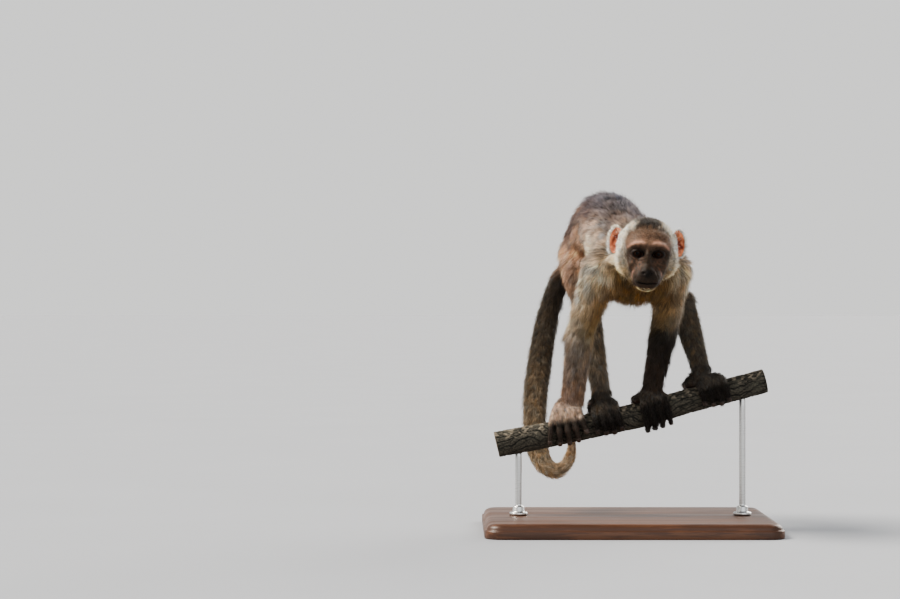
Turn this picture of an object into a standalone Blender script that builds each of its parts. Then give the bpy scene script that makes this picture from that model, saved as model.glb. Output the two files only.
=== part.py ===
"""White-fronted capuchin monkey standing on a cut branch: a still, life-size display model.

Run with: blender --background --python part.py
Metres, +Z up. The origin is the centre of the stand's underside. The monkey faces -Y, and +X is
its left-hand side. The solids run out to the tips of the coat. The animal is modelled whole from
ellipsoids and tapered tubes fused together, and is then parted with thin cuts.
"""

import math

import bmesh
import bpy
import numpy as np
from mathutils import Matrix, Vector

for old in list(bpy.data.objects):
    bpy.data.objects.remove(old)

model = bpy.data.collections.new("capuchin_monkey")
cutters = bpy.data.collections.new("cutters")
for collection in (model, cutters):
    bpy.context.scene.collection.children.link(collection)

# ---------------------------------------------------------------- driving dimensions

GAP = 0.0004  # between two touching solids
FINE = 0.0017  # voxel of the finished body
COARSE = 0.0032  # voxel of the first blend of trunk and limbs
FINE_PASSES, COARSE_PASSES = 3, 12  # rounds of smoothing after each blend
BODY_TRIANGLES = 4800
WELD = 1e-5  # merges a tube's loose caps to its wall
SLIVER = 0.00012  # shortest edge that a cut may leave

BRANCH_AXIS = [
    Vector(p)
    for p in (
        (-0.163, 0, 0.1059),
        (-0.109, 0, 0.1158),
        (-0.047, 0, 0.1289),
        (0.015, 0, 0.1425),
        (0.077, 0, 0.1605),
        (0.170, 0, 0.1848),
    )
]
BRANCH_RADII = (0.0162, 0.0160, 0.0157, 0.0160, 0.0153, 0.0150)
BRANCH_STATIONS = 11

BASE_SIZE = Vector((0.360, 0.260, 0.018))
BASE_CORNER, BASE_CORNER_STEPS = 0.022, 4
BASE_EDGE, BASE_EDGE_STEPS = 0.0025, 2
ROD_RADIUS = 0.004
ROD_PLACES = (-0.136, 0.142)

EYE_RADIUS = 0.0083
EYE_HALF_SPACING = 0.0125
EYE_MIDDLE = Vector((0.0136, -0.1350, 0.3400))
HEAD_YAW, HEAD_PITCH, HEAD_ROLL = -2.6, -5.0, -3.3  # degrees

JOINTS = {
    "tail_root": Vector((-0.0552, 0.155, 0.3376)),
    "pelvis": Vector((-0.0422, 0.130, 0.3553)),
    "loin": Vector((-0.0292, 0.090, 0.3770)),
    "back": Vector((-0.0168, 0.045, 0.3745)),
    "chest": Vector((-0.0004, -0.005, 0.3390)),
    "shoulders": Vector((0.0077, -0.045, 0.3319)),
    "hip_right": Vector((-0.0529, 0.128, 0.3475)),
    "knee_right": Vector((-0.0485, 0.056, 0.2725)),
    "ankle_right": Vector((-0.0320, 0.017, 0.1690)),
    "hip_left": Vector((-0.0160, 0.135, 0.3567)),
    "knee_left": Vector((0.0740, 0.085, 0.2854)),
    "ankle_left": Vector((0.0920, 0.013, 0.1980)),
    "shoulder_right": Vector((-0.0382, -0.055, 0.3220)),
    "elbow_right": Vector((-0.0596, -0.011, 0.2481)),
    "wrist_right": Vector((-0.0690, 0.003, 0.1600)),
    "shoulder_left": Vector((0.0525, -0.040, 0.3225)),
    "elbow_left": Vector((0.0473, 0.015, 0.2529)),
    "wrist_left": Vector((0.0285, -0.010, 0.1725)),
}

# The trunk from the hips to the base of the neck: joint, half width, half depth.
TRUNK_STATIONS = 17
STATION_HALF_LENGTH = 0.026
TRUNK = (
    ("pelvis", 0.0340, 0.0370),
    ("loin", 0.0385, 0.0430),
    ("back", 0.0420, 0.0450),
    ("chest", 0.0450, 0.0540),
    ("shoulders", 0.0440, 0.0450),
)

TAIL_POINTS = [
    Vector(p)
    for p in (
        (-0.0552, 0.155, 0.3376),
        (-0.0725, 0.175, 0.3182),
        (-0.0868, 0.180, 0.2827),
        (-0.0964, 0.170, 0.2460),
        (-0.1038, 0.148, 0.2071),
        (-0.1101, 0.118, 0.1692),
        (-0.1132, 0.085, 0.1321),
        (-0.1123, 0.055, 0.1045),
        (-0.1042, 0.036, 0.0805),
        (-0.0882, 0.028, 0.0697),
        (-0.0732, 0.027, 0.0823),
        (-0.0681, 0.027, 0.1010),
        (-0.0717, 0.025, 0.1184),
    )
]
TAIL_RADII = (
    0.0150, 0.0160, 0.0168, 0.0178, 0.0186, 0.0184, 0.0172,
    0.0152, 0.0134, 0.0108, 0.0090, 0.0076, 0.0055,
)
TAIL_STATIONS = 60
TAIL_CUTS = (4, 7)  # the tail points where its three lengths part


# ---------------------------------------------------------------- modelling tools


def smooth_path(points, values, count):
    """Catmull-Rom through points, with a value carried along: (list of Vectors, list of values)."""
    p = np.array([tuple(v) for v in points], float)
    p = np.vstack([2 * p[0] - p[1], p, 2 * p[-1] - p[-2]])
    t = np.linspace(0, len(points) - 1, count)
    i = np.minimum(t.astype(int), len(points) - 2)
    s = (t - i)[:, None]
    a, b, c, d = p[i], p[i + 1], p[i + 2], p[i + 3]
    squared = (2 * a - 5 * b + 4 * c - d) * s**2
    cubed = (3 * b - a - 3 * c + d) * s**3
    line = 0.5 * (2 * b + (c - a) * s + squared + cubed)
    carried = np.interp(t, np.arange(len(values)), values)
    return [Vector(q) for q in line], [float(v) for v in carried]


def link(obj, collection):
    for home in list(obj.users_collection):
        home.objects.unlink(obj)
    collection.objects.link(obj)
    return obj


def mesh_object(name, shape, collection=cutters):
    """A mesh object made from a bmesh, which is freed."""
    mesh = bpy.data.meshes.new(name)
    shape.to_mesh(mesh)
    shape.free()
    obj = bpy.data.objects.new(name, mesh)
    collection.objects.link(obj)
    if collection is cutters:
        obj.hide_render = True
        obj.display_type = "WIRE"
    return obj


def evaluated_mesh(obj):
    graph = bpy.context.evaluated_depsgraph_get()
    return bpy.data.meshes.new_from_object(obj.evaluated_get(graph))


def applied(obj):
    """Applies every modifier of obj."""
    mesh = evaluated_mesh(obj)
    obj.modifiers.clear()
    obj.data = mesh
    return obj


def along(direction, up=Vector((0, 0, 1))):
    """Rotation whose y axis is direction and whose z axis leans to up."""
    y = direction.normalized()
    x = y.cross(up).normalized()
    return Matrix((x, y, x.cross(y))).transposed().to_4x4()


def add_ball(clay, centre, radii, turn=None, segments=24):
    """Adds an ellipsoid to the clay."""
    stretch = Matrix.Diagonal((*radii, 1))
    matrix = Matrix.Translation(centre) @ (turn or Matrix.Identity(4)) @ stretch
    bmesh.ops.create_uvsphere(
        clay, u_segments=segments, v_segments=segments // 2, radius=1, matrix=matrix
    )


def tube_mesh(line, widths):
    """A tapered tube through the points of line, with flat ends, as one closed mesh."""
    curve = bpy.data.curves.new("tube", "CURVE")
    curve.dimensions = "3D"
    curve.bevel_depth = 1.0
    curve.bevel_resolution = 3
    curve.use_fill_caps = True
    spline = curve.splines.new("POLY")
    spline.points.add(len(line) - 1)
    for point, place, width in zip(spline.points, line, widths):
        point.co = (*place, 1)
        point.radius = width
    guide = bpy.data.objects.new("tube", curve)
    cutters.objects.link(guide)
    bpy.context.view_layer.update()
    mesh = evaluated_mesh(guide)
    bpy.data.objects.remove(guide)
    tube = bmesh.new()
    tube.from_mesh(mesh)
    bmesh.ops.remove_doubles(tube, verts=tube.verts, dist=WELD)
    tube.to_mesh(mesh)
    tube.free()
    return mesh


def add_tube(clay, points, radii, count=0):
    """Adds a tapered tube with rounded ends to the clay."""
    line, widths = smooth_path(points, radii, count or 6 * len(points))
    clay.from_mesh(tube_mesh(line, widths))
    for end in (0, -1):
        add_ball(clay, line[end], (widths[end],) * 3, segments=16)


def fused(name, clay, voxel, passes, factor=0.5):
    """The clay as one soft closed surface."""
    obj = mesh_object(name, clay)
    fuse = obj.modifiers.new("fuse", "REMESH")
    fuse.mode = "VOXEL"
    fuse.voxel_size = voxel
    soften = obj.modifiers.new("soften", "SMOOTH")
    soften.factor = factor
    soften.iterations = passes
    return applied(obj)


def add_mesh(clay, obj):
    clay.from_mesh(obj.data)
    bpy.data.objects.remove(obj)


def boolean(obj, cutter, operation="DIFFERENCE"):
    modifier = obj.modifiers.new(operation.lower(), "BOOLEAN")
    modifier.operation = operation
    modifier.object = cutter
    modifier.solver = "EXACT"
    return applied(obj)


def half(obj, name, place, normal):
    """A copy of obj kept on the side of the plane that normal points to, and closed there."""
    shape = bmesh.new()
    shape.from_mesh(obj.data)
    everything = shape.verts[:] + shape.edges[:] + shape.faces[:]
    shift = place + normal * GAP / 2
    bmesh.ops.bisect_plane(
        shape, geom=everything, dist=1e-6, plane_co=shift, plane_no=normal, clear_inner=True
    )
    rim = [e for e in shape.edges if e.is_boundary]
    bmesh.ops.holes_fill(shape, edges=rim)
    bmesh.ops.triangulate(shape, faces=[f for f in shape.faces if len(f.verts) > 4])
    return mesh_object(name, shape, model)


def parted(obj, names, cuts):
    """Divides obj at each (place, normal) in turn, naming what lies behind each cut, then the rest."""
    rest = obj
    for name, (place, normal) in zip(names, cuts):
        half(rest, name, place, -normal)
        ahead = half(rest, names[-1], place, normal)
        bpy.data.objects.remove(rest)
        rest = ahead
    rest.name = names[-1]


def disc(place, normal, radius):
    """A thin round blade."""
    shape = bmesh.new()
    matrix = Matrix.Translation(place) @ normal.to_track_quat("Z", "Y").to_matrix().to_4x4()
    bmesh.ops.create_cone(
        shape, cap_ends=True, segments=24, radius1=radius, radius2=radius, depth=GAP, matrix=matrix
    )
    return mesh_object("blade", shape)


def loose_parts(obj, seeds):
    """Separates obj into its islands. Each seed names the island that comes nearest to it."""
    shape = bmesh.new()
    shape.from_mesh(obj.data)
    bpy.data.objects.remove(obj)
    unseen = set(shape.verts)
    islands = []
    while unseen:
        first = unseen.pop()
        island, front = {first}, [first]
        while front:
            for edge in front.pop().link_edges:
                fresh = unseen.intersection(edge.verts)
                unseen -= fresh
                island |= fresh
                front.extend(fresh)
        islands.append(sorted(island, key=lambda v: v.index))
    found = {}
    for name, seed in seeds.items():
        island = min(islands, key=lambda group: min((v.co - seed).length for v in group))
        part = bmesh.new()
        copies = {v: part.verts.new(v.co) for v in island}
        for face in shape.faces:
            if face.verts[0] in copies:
                part.faces.new([copies[v] for v in face.verts])
        found[name] = mesh_object(name, part)
    shape.free()
    return found


def between(a, b, share):
    return JOINTS[a].lerp(JOINTS[b], share)


# ---------------------------------------------------------------- perch


def branch_at(x):
    """The branch's axis point at x, and its radius there."""
    xs = [p.x for p in BRANCH_AXIS]
    height = float(np.interp(x, xs, [p.z for p in BRANCH_AXIS]))
    return Vector((x, 0, height)), float(np.interp(x, xs, BRANCH_RADII))


def around_branch(x, angle, lift):
    """A point lift above the bark at angle degrees from the top, turning to the front."""
    centre, radius = branch_at(x)
    slope = (BRANCH_AXIS[-1] - BRANCH_AXIS[0]).normalized()
    upright = Vector((-slope.z, 0, slope.x))
    a = math.radians(angle)
    return centre + (radius + lift) * (math.cos(a) * upright + math.sin(a) * Vector((0, -1, 0)))


def branch_mesh(name, extra, collection):
    """The branch with flat sawn ends, extra thicker all round."""
    line, widths = smooth_path(BRANCH_AXIS, BRANCH_RADII, BRANCH_STATIONS)
    clay = bmesh.new()
    clay.from_mesh(tube_mesh(line, [width + extra for width in widths]))
    return mesh_object(name, clay, collection)


# ---------------------------------------------------------------- trunk, neck, limbs and tail

clay = bmesh.new()
spine = [JOINTS[name] for name, _, _ in TRUNK]
line, widths = smooth_path(spine, [width for _, width, _ in TRUNK], TRUNK_STATIONS)
_, depths = smooth_path(spine, [depth for _, _, depth in TRUNK], TRUNK_STATIONS)
for i, place in enumerate(line):
    heading = line[min(i + 1, len(line) - 1)] - line[max(i - 1, 0)]
    add_ball(clay, place, (widths[i], STATION_HALF_LENGTH, depths[i]), along(heading))
add_ball(clay, JOINTS["pelvis"] + Vector((-0.006, 0.012, -0.008)), (0.032, 0.028, 0.030))
add_ball(clay, JOINTS["chest"] + Vector((0.006, -0.022, -0.020)), (0.038, 0.036, 0.038))

for side in ("right", "left"):
    hip, knee, ankle = (JOINTS[f"{n}_{side}"] for n in ("hip", "knee", "ankle"))
    shoulder, elbow, wrist = (JOINTS[f"{n}_{side}"] for n in ("shoulder", "elbow", "wrist"))
    thigh = [hip, hip.lerp(knee, 0.35), hip.lerp(knee, 0.7), knee]
    add_tube(clay, thigh, (0.0290, 0.0285, 0.0230, 0.0188))
    calf = knee.lerp(ankle, 0.33) + Vector((0, 0.003, 0))
    add_tube(clay, [knee, calf, knee.lerp(ankle, 0.7), ankle], (0.0185, 0.0178, 0.0150, 0.0134))
    mid_arm = shoulder.lerp(elbow, 0.5)
    add_tube(clay, [shoulder, mid_arm, elbow], (0.0245, 0.0225, 0.0175))
    belly_of_forearm = elbow.lerp(wrist, 0.3)
    thick = 1.08 if side == "right" else 1.0
    sizes = [r * thick for r in (0.0170, 0.0166, 0.0154, 0.0142)]
    add_tube(clay, [elbow, belly_of_forearm, elbow.lerp(wrist, 0.7), wrist], sizes)
    add_ball(clay, shoulder + (JOINTS["shoulders"] - shoulder) * 0.25, (0.026, 0.028, 0.034))

add_tube(clay, TAIL_POINTS, TAIL_RADII, TAIL_STATIONS)

head_turn = (
    Matrix.Rotation(math.radians(180 + HEAD_YAW), 4, "Z")
    @ Matrix.Rotation(math.radians(HEAD_PITCH), 4, "X")
    @ Matrix.Rotation(math.radians(HEAD_ROLL), 4, "Y")
)
HEAD = Matrix.Translation(EYE_MIDDLE) @ head_turn


def in_head(x, y, z):
    """A place in the head's own axes, in millimetres from mid-eye: +x its right, +y on, +z up."""
    return HEAD @ Vector((x / 1000, y / 1000, z / 1000))


def head_ball(clay, centre, radii, pitch=0.0, roll=0.0, yaw=0.0):
    """Adds an ellipsoid in the head's axes, in millimetres, turned by yaw, roll and pitch degrees."""
    turn = head_turn.copy()
    for angle, axis in ((yaw, "Z"), (roll, "Y"), (pitch, "X")):
        turn @= Matrix.Rotation(math.radians(angle), 4, axis)
    add_ball(clay, in_head(*centre), [r / 1000 for r in radii], turn)


def add_head(clay):
    """Cranium, jaw, muzzle, cheeks and brow, in millimetres."""
    head_ball(clay, (0, -34, 6), (35.5, 45, 36))
    head_ball(clay, (0, -12, -6), (31, 24, 25))
    head_ball(clay, (0, -6, -28), (23, 26, 18), pitch=-6)
    head_ball(clay, (0, 8, -28), (18, 19.5, 17.5), pitch=-4)
    head_ball(clay, (0, 19, -21), (9, 10.5, 8), pitch=-20)
    head_ball(clay, (0, 10, -9), (6.5, 8.5, 15), pitch=-24)
    for side in (-1, 1):
        head_ball(clay, (22 * side, -16, -12), (16, 17, 22), roll=16 * side)
        head_ball(clay, (11.5 * side, 3.2, 11), (14, 7.0, 4.8), roll=6 * side, yaw=-26 * side)
        head_ball(clay, (18 * side, 1, -13), (7.5, 9, 7))


add_head(clay)
neck_back = in_head(0, -50, -6)
nape = JOINTS["shoulders"].lerp(neck_back, 0.5)
add_tube(clay, [JOINTS["shoulders"], nape, neck_back], (0.041, 0.038, 0.034))
soft_body = fused("soft_body", clay, COARSE, COARSE_PASSES)

# ---------------------------------------------------------------- hands and feet


def add_digit(clay, x_base, x_tip, start, reach, radius):
    """A finger or toe wrapped round the branch from start degrees, over two knuckles, to its tip."""
    points, radii = [], []
    for t in np.linspace(0, 1, 9).tolist():
        bend = 0.0012 * math.sin(math.pi * t)
        points.append(around_branch(x_base + (x_tip - x_base) * t, start + reach * t, radius + bend))
        radii.append(radius * (1.10 - 0.26 * t + 0.07 * math.cos(4 * math.pi * t)))
    add_tube(clay, points, radii, 16)


def add_grip(clay, root, root_radius, knuckle_angle, digits, inner):
    """A palm or sole fanned from root to a row of knuckles, its digits, and the inner digit apart."""
    for x_base, x_tip, reach, radius in digits:
        knuckle = around_branch(x_base, knuckle_angle, radius + 0.0012)
        start = Vector((root.x + 0.45 * (x_base - root.x), root.y, root.z))
        back = start.lerp(knuckle, 0.55) + Vector((0, 0, 0.0012))
        add_tube(clay, [start, back, knuckle], (root_radius, 0.0082, radius * 1.18), 9)
        add_digit(clay, x_base, x_tip, knuckle_angle, reach, radius)
    x_base, x_tip, start_angle, reach, radius = inner
    first = around_branch(x_base, start_angle, radius)
    add_tube(clay, [root, first], (root_radius * 0.9, radius * 1.25), 6)
    add_digit(clay, x_base, x_tip, start_angle, reach, radius)


# A hand: knuckle angle, four fingers (x at the knuckle, x at the tip, reach in degrees, radius)
# and the thumb, whose start angle comes third. Angles run from the branch's top over its front.
HANDS = {
    "right": (
        46,
        (
            (-0.0925, -0.0995, 84, 0.0037),
            (-0.0836, -0.0878, 112, 0.0041),
            (-0.0746, -0.0764, 122, 0.0042),
            (-0.0657, -0.0650, 112, 0.0041),
        ),
        (-0.0575, -0.0535, 34, 72, 0.0042),
    ),
    "left": (
        66,
        (
            (0.0462, 0.0484, 96, 0.0038),
            (0.0374, 0.0387, 118, 0.0041),
            (0.0286, 0.0292, 124, 0.0042),
            (0.0200, 0.0198, 112, 0.0041),
        ),
        (0.0150, 0.0115, 10, -92, 0.0042),
    ),
}
# A foot: heel, instep, then knuckle angle, toes and big toe as for a hand.
FEET = {
    "right": (
        (-0.0405, 0.0270, 0.1530),
        (-0.0305, 0.0010, 0.1545),
        44,
        (
            (-0.0395, -0.0405, 78, 0.0039),
            (-0.0306, -0.0306, 96, 0.0042),
            (-0.0217, -0.0208, 100, 0.0043),
            (-0.0130, -0.0110, 92, 0.0041),
        ),
        (-0.0385, -0.0435, -22, -74, 0.0050),
    ),
    "left": (
        (0.0770, 0.0250, 0.1790),
        (0.0925, 0.0010, 0.1850),
        38,
        (
            (0.0922, 0.0920, 80, 0.0039),
            (0.1014, 0.1020, 98, 0.0042),
            (0.1103, 0.1119, 100, 0.0043),
            (0.1190, 0.1215, 90, 0.0041),
        ),
        (0.0820, 0.0760, -18, -78, 0.0050),
    ),
}


def add_hand(clay, side):
    angle, fingers, thumb = HANDS[side]
    wrist = JOINTS[f"wrist_{side}"]
    add_grip(clay, wrist + Vector((0, -0.003, -0.003)), 0.0098, angle, fingers, thumb)


def add_foot(clay, side):
    heel, instep, angle, toes, big_toe = FEET[side]
    heel, instep = Vector(heel), Vector(instep)
    ankle = JOINTS[f"ankle_{side}"]
    add_tube(clay, [ankle, ankle.lerp(instep, 0.55), instep], (0.0132, 0.0130, 0.0108), 8)
    sole = heel.lerp(instep, 0.5) + Vector((0, 0, 0.002))
    add_tube(clay, [heel, sole, instep], (0.0086, 0.0110, 0.0108), 10)
    add_grip(clay, instep, 0.0098, angle, toes, big_toe)


clay = bmesh.new()
add_mesh(clay, soft_body)
add_head(clay)
for side in ("right", "left"):
    add_hand(clay, side)
    add_foot(clay, side)
body = fused("body", clay, FINE, FINE_PASSES)

facets = body.modifiers.new("facets", "DECIMATE")
facets.ratio = BODY_TRIANGLES / (2 * len(body.data.polygons))
applied(body)

# ---------------------------------------------------------------- perch clears the hands and feet

perch = branch_mesh("perch_branch", 0.0, model)
body = boolean(body, branch_mesh("bark_clearance", GAP, cutters))

# ---------------------------------------------------------------- parting

# Where each limb leaves the trunk: joints either side, share of the way down, blade normal, radius.
BLADES = (
    ("shoulder_right", "elbow_right", 0.56, (0, 0.30, -0.95), 0.034),
    ("shoulder_left", "elbow_left", 0.58, (0, 0.30, -0.95), 0.032),
    ("hip_right", "knee_right", 0.45, (0, -0.45, -0.89), 0.045),
    ("hip_left", "knee_left", 0.46, (0.72, -0.40, -0.57), 0.036),
)
for upper, lower, share, normal, radius in BLADES:
    body = boolean(body, disc(between(upper, lower, share), Vector(normal).normalized(), radius))
tail_cut = TAIL_POINTS[0].lerp(TAIL_POINTS[1], 0.55)
body = boolean(body, disc(tail_cut, (TAIL_POINTS[1] - TAIL_POINTS[0]).normalized(), 0.026))

seeds = {
    "axial": JOINTS["back"] + Vector((0, 0, 0.04)),
    "arm_right": JOINTS["elbow_right"],
    "arm_left": JOINTS["elbow_left"],
    "leg_right": JOINTS["knee_right"],
    "leg_left": JOINTS["knee_left"],
    "tail": TAIL_POINTS[4],
}
found = loose_parts(body, seeds)

for side in ("right", "left"):
    for whole, names, joints in (
        ("arm", ("upper_arm", "forearm", "hand"), ("shoulder", "elbow", "wrist")),
        ("leg", ("thigh", "shank", "foot"), ("hip", "knee", "ankle")),
    ):
        upper, middle, lower = (JOINTS[f"{j}_{side}"] for j in joints)
        above, below = (middle - upper).normalized(), (lower - middle).normalized()
        cuts = [(middle, (above + below).normalized()), (lower, below)]
        parted(found[f"{whole}_{side}"], [f"{n}_{side}" for n in names], cuts)

tail_cuts = [
    (TAIL_POINTS[i], (TAIL_POINTS[i + 1] - TAIL_POINTS[i - 1]).normalized()) for i in TAIL_CUTS
]
parted(found["tail"], ["tail_base", "tail_middle", "tail_end"], tail_cuts)

head_cut = (in_head(0, -57, -8), (head_turn @ Vector((0, 0.92, 0.38))).normalized())
chest_cut = (between("back", "chest", 0.35), (JOINTS["back"] - JOINTS["chest"]).normalized())
hips_cut = (between("loin", "pelvis", 0.35), (JOINTS["pelvis"] - JOINTS["loin"]).normalized())
half(found["axial"], "head", *head_cut)
torso = half(found["axial"], "torso", head_cut[0], -head_cut[1])
bpy.data.objects.remove(found["axial"])
parted(torso, ["chest", "belly", "hips"], [chest_cut, hips_cut])

# The neck is a collar of its own, rounded where it sets into the chest.
shape = bmesh.new()
neck_middle = JOINTS["shoulders"].lerp(neck_back, 0.62)
neck_turn = along(neck_back - JOINTS["shoulders"])
neck_radii = (0.045, 0.034, 0.054)
add_ball(shape, neck_middle, neck_radii, neck_turn, 16)
neck_zone = mesh_object("neck_zone", shape)
shape = bmesh.new()
add_ball(shape, neck_middle, [radius + GAP for radius in neck_radii], neck_turn, 16)
neck_hollow = mesh_object("neck_hollow", shape)
chest = bpy.data.objects["chest"]
neck = bpy.data.objects.new("neck", chest.data.copy())
model.objects.link(neck)
boolean(neck, neck_zone, "INTERSECT")
boolean(chest, neck_hollow)

# ---------------------------------------------------------------- eyes and ears

head = bpy.data.objects["head"]
for side, name in ((1, "right"), (-1, "left")):
    centre = in_head(side * EYE_HALF_SPACING * 1000, 0, 0)
    shape = bmesh.new()
    add_ball(shape, centre, (EYE_RADIUS + 2 * GAP,) * 3, head_turn, 16)
    boolean(head, mesh_object("socket_" + name, shape))
    shape = bmesh.new()
    add_ball(shape, in_head(side * 12.8, 8.5, 0), (0.0066, 0.0062, 0.0047), head_turn, 12)
    boolean(head, mesh_object("lids_" + name, shape))
    shape = bmesh.new()
    add_ball(shape, centre, (EYE_RADIUS,) * 3, head_turn, 14)
    mesh_object("eye_" + name, shape, model)

EAR_PLACE = (34.5, -33.0, 13.0)  # right ear's root middle, in the head's millimetres
EAR_HALF_HEIGHT, EAR_WIDTH, EAR_WALL = 0.0158, 0.0185, 0.0024
EAR_HALF_DEPTH = 0.0058
EAR_FLARE, EAR_TILT = 56.0, 8.0  # degrees out from the side of the head, and back
EAR_CLEAR = Vector((50, -42, 18))  # a place beyond the right ear's rim, in the head's millimetres


def ear_shell(name, side):
    """A cupped shell: a bowl open to the front, thickened, tilted out from the head."""
    shape = bmesh.new()
    bmesh.ops.create_uvsphere(shape, u_segments=14, v_segments=8, radius=1)
    front = [v for v in shape.verts if v.co.y > 0.12]
    bmesh.ops.delete(shape, geom=front, context="VERTS")
    for vertex in shape.verts:
        x, y, z = vertex.co
        taper = 1 - 0.22 * max(0.0, -z)
        vertex.co = Vector((x * taper * EAR_WIDTH / 2, y * EAR_HALF_DEPTH, z * EAR_HALF_HEIGHT))
    ear = mesh_object(name, shape, model)
    wall = ear.modifiers.new("wall", "SOLIDIFY")
    wall.thickness = EAR_WALL
    wall.offset = 0.0
    applied(ear)
    outward = Matrix.Translation((EAR_WIDTH / 2, 0, 0))
    flare = Matrix.Rotation(math.radians(-EAR_FLARE), 4, "Z")
    tilt = Matrix.Rotation(math.radians(-EAR_TILT), 4, "Y")
    place = Matrix.Translation([c / 1000 for c in EAR_PLACE])
    mirror = Matrix.Diagonal((side, 1, 1, 1))
    ear.data.transform(HEAD @ mirror @ place @ tilt @ flare @ outward)
    if side < 0:
        ear.data.flip_normals()
    return ear


swollen = bpy.data.objects.new("swollen_head", head.data.copy())
swollen.hide_render = True
cutters.objects.link(swollen)
swell = swollen.modifiers.new("swell", "DISPLACE")
swell.strength = GAP
swell.mid_level = 0.0
applied(swollen)
for side, name in ((1, "right"), (-1, "left")):
    ear = boolean(ear_shell("ear_" + name, side), swollen)
    ear.name = "whole_ear"
    outside = in_head(EAR_CLEAR.x * side, EAR_CLEAR.y, EAR_CLEAR.z)
    ear = loose_parts(ear, {f"ear_{name}": outside})[f"ear_{name}"]
    ear.hide_render = False
    ear.display_type = "TEXTURED"
    link(ear, model)

# ---------------------------------------------------------------- stand

shape = bmesh.new()
plank = Matrix.Translation((0, 0, BASE_SIZE.z / 2)) @ Matrix.Diagonal((*BASE_SIZE, 1))
bmesh.ops.create_cube(shape, size=1, matrix=plank)
base = mesh_object("stand_base", shape, model)
corners = base.modifiers.new("corners", "BEVEL")
corners.limit_method = "WEIGHT"
corners.width = BASE_CORNER
corners.segments = BASE_CORNER_STEPS
weights = base.data.attributes.new("bevel_weight_edge", "FLOAT", "EDGE")
for edge in base.data.edges:
    ends = [base.data.vertices[i].co for i in edge.vertices]
    weights.data[edge.index].value = float(abs(ends[0].z - ends[1].z) > BASE_SIZE.z / 2)
moulding = base.modifiers.new("moulding", "BEVEL")
moulding.limit_method = "ANGLE"
moulding.angle_limit = math.radians(60)
moulding.width = BASE_EDGE
moulding.segments = BASE_EDGE_STEPS
applied(base)

bark = branch_mesh("rod_clearance", GAP, cutters)
for x, name in zip(ROD_PLACES, ("stand_rod_right", "stand_rod_left")):
    centre, _ = branch_at(x)
    low = BASE_SIZE.z + GAP
    shape = bmesh.new()
    bmesh.ops.create_cone(
        shape,
        cap_ends=True,
        segments=16,
        radius1=ROD_RADIUS,
        radius2=ROD_RADIUS,
        depth=centre.z - low,
        matrix=Matrix.Translation((x, 0, (centre.z + low) / 2)),
    )
    boolean(mesh_object(name, shape, model), bark)

# ---------------------------------------------------------------- slivers left by the cuts

for obj in model.objects:
    shape = bmesh.new()
    shape.from_mesh(obj.data)
    bmesh.ops.dissolve_degenerate(shape, edges=shape.edges, dist=SLIVER)
    bmesh.ops.triangulate(shape, faces=[f for f in shape.faces if len(f.verts) > 4])
    if all(edge.is_manifold for edge in shape.edges):
        shape.to_mesh(obj.data)
    shape.free()

# ---------------------------------------------------------------- finishes

SHARP = 50.0  # degrees
# Finish: colour, roughness, metallic, and words found in the names of the parts that have it.
FINISHES = {
    "coat_cream": ((0.72, 0.60, 0.44), 0.85, 0.0, ("head", "neck", "chest")),
    "coat_brown": ((0.30, 0.20, 0.14), 0.85, 0.0, ("belly", "hips", "tail", "arm", "thigh", "shank")),
    "bare_skin": ((0.36, 0.20, 0.15), 0.60, 0.0, ("hand", "foot", "ear_")),
    "eye": ((0.05, 0.03, 0.02), 0.10, 0.0, ("eye",)),
    "bark": ((0.16, 0.12, 0.09), 0.90, 0.0, ("perch",)),
    "base_wood": ((0.10, 0.06, 0.04), 0.45, 0.0, ("stand_base",)),
    "rod_steel": ((0.45, 0.45, 0.46), 0.35, 1.0, ("stand_rod",)),
}
for finish, (colour, roughness, metallic, words) in FINISHES.items():
    material = bpy.data.materials.new(finish)
    material.use_nodes = True
    shader = material.node_tree.nodes["Principled BSDF"]
    shader.inputs["Base Color"].default_value = (*colour, 1)
    shader.inputs["Roughness"].default_value = roughness
    shader.inputs["Metallic"].default_value = metallic
    for obj in model.objects:
        if any(word in obj.name for word in words):
            obj.data.materials.clear()
            obj.data.materials.append(material)
for obj in model.objects:
    obj.data.shade_smooth()
    obj.data.set_sharp_from_angle(angle=math.radians(SHARP))
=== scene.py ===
import math

import bmesh
import bpy
import numpy as np
from mathutils import Matrix, Vector
from mathutils.bvhtree import BVHTree
from mathutils.kdtree import KDTree


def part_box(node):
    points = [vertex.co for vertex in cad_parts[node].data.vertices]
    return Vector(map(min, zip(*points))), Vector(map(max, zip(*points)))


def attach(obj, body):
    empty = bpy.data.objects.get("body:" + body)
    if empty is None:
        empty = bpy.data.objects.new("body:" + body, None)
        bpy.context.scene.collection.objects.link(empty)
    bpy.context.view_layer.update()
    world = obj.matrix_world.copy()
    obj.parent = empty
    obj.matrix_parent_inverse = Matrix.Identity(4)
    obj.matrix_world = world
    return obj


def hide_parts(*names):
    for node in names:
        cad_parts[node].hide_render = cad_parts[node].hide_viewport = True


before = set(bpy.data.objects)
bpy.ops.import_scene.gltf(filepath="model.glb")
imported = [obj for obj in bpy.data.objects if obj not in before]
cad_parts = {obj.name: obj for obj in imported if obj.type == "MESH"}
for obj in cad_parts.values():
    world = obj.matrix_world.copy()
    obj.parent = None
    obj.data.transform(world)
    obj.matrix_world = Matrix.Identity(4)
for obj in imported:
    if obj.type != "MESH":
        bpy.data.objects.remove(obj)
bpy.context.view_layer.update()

# ---------------------------------------------------------------- skin
# One closed hide over head, trunk, limbs and tail, cast in a soft rubber and painted. It is grown
# from the frame's flesh parts, closed over their cuts, sunk by the coat's depth, then worked in
# the face: orbits, lids, nose, lips, folds.

MM = 0.001
FLESH = [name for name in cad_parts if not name.startswith(("eye_", "perch_", "stand_"))]
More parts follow.
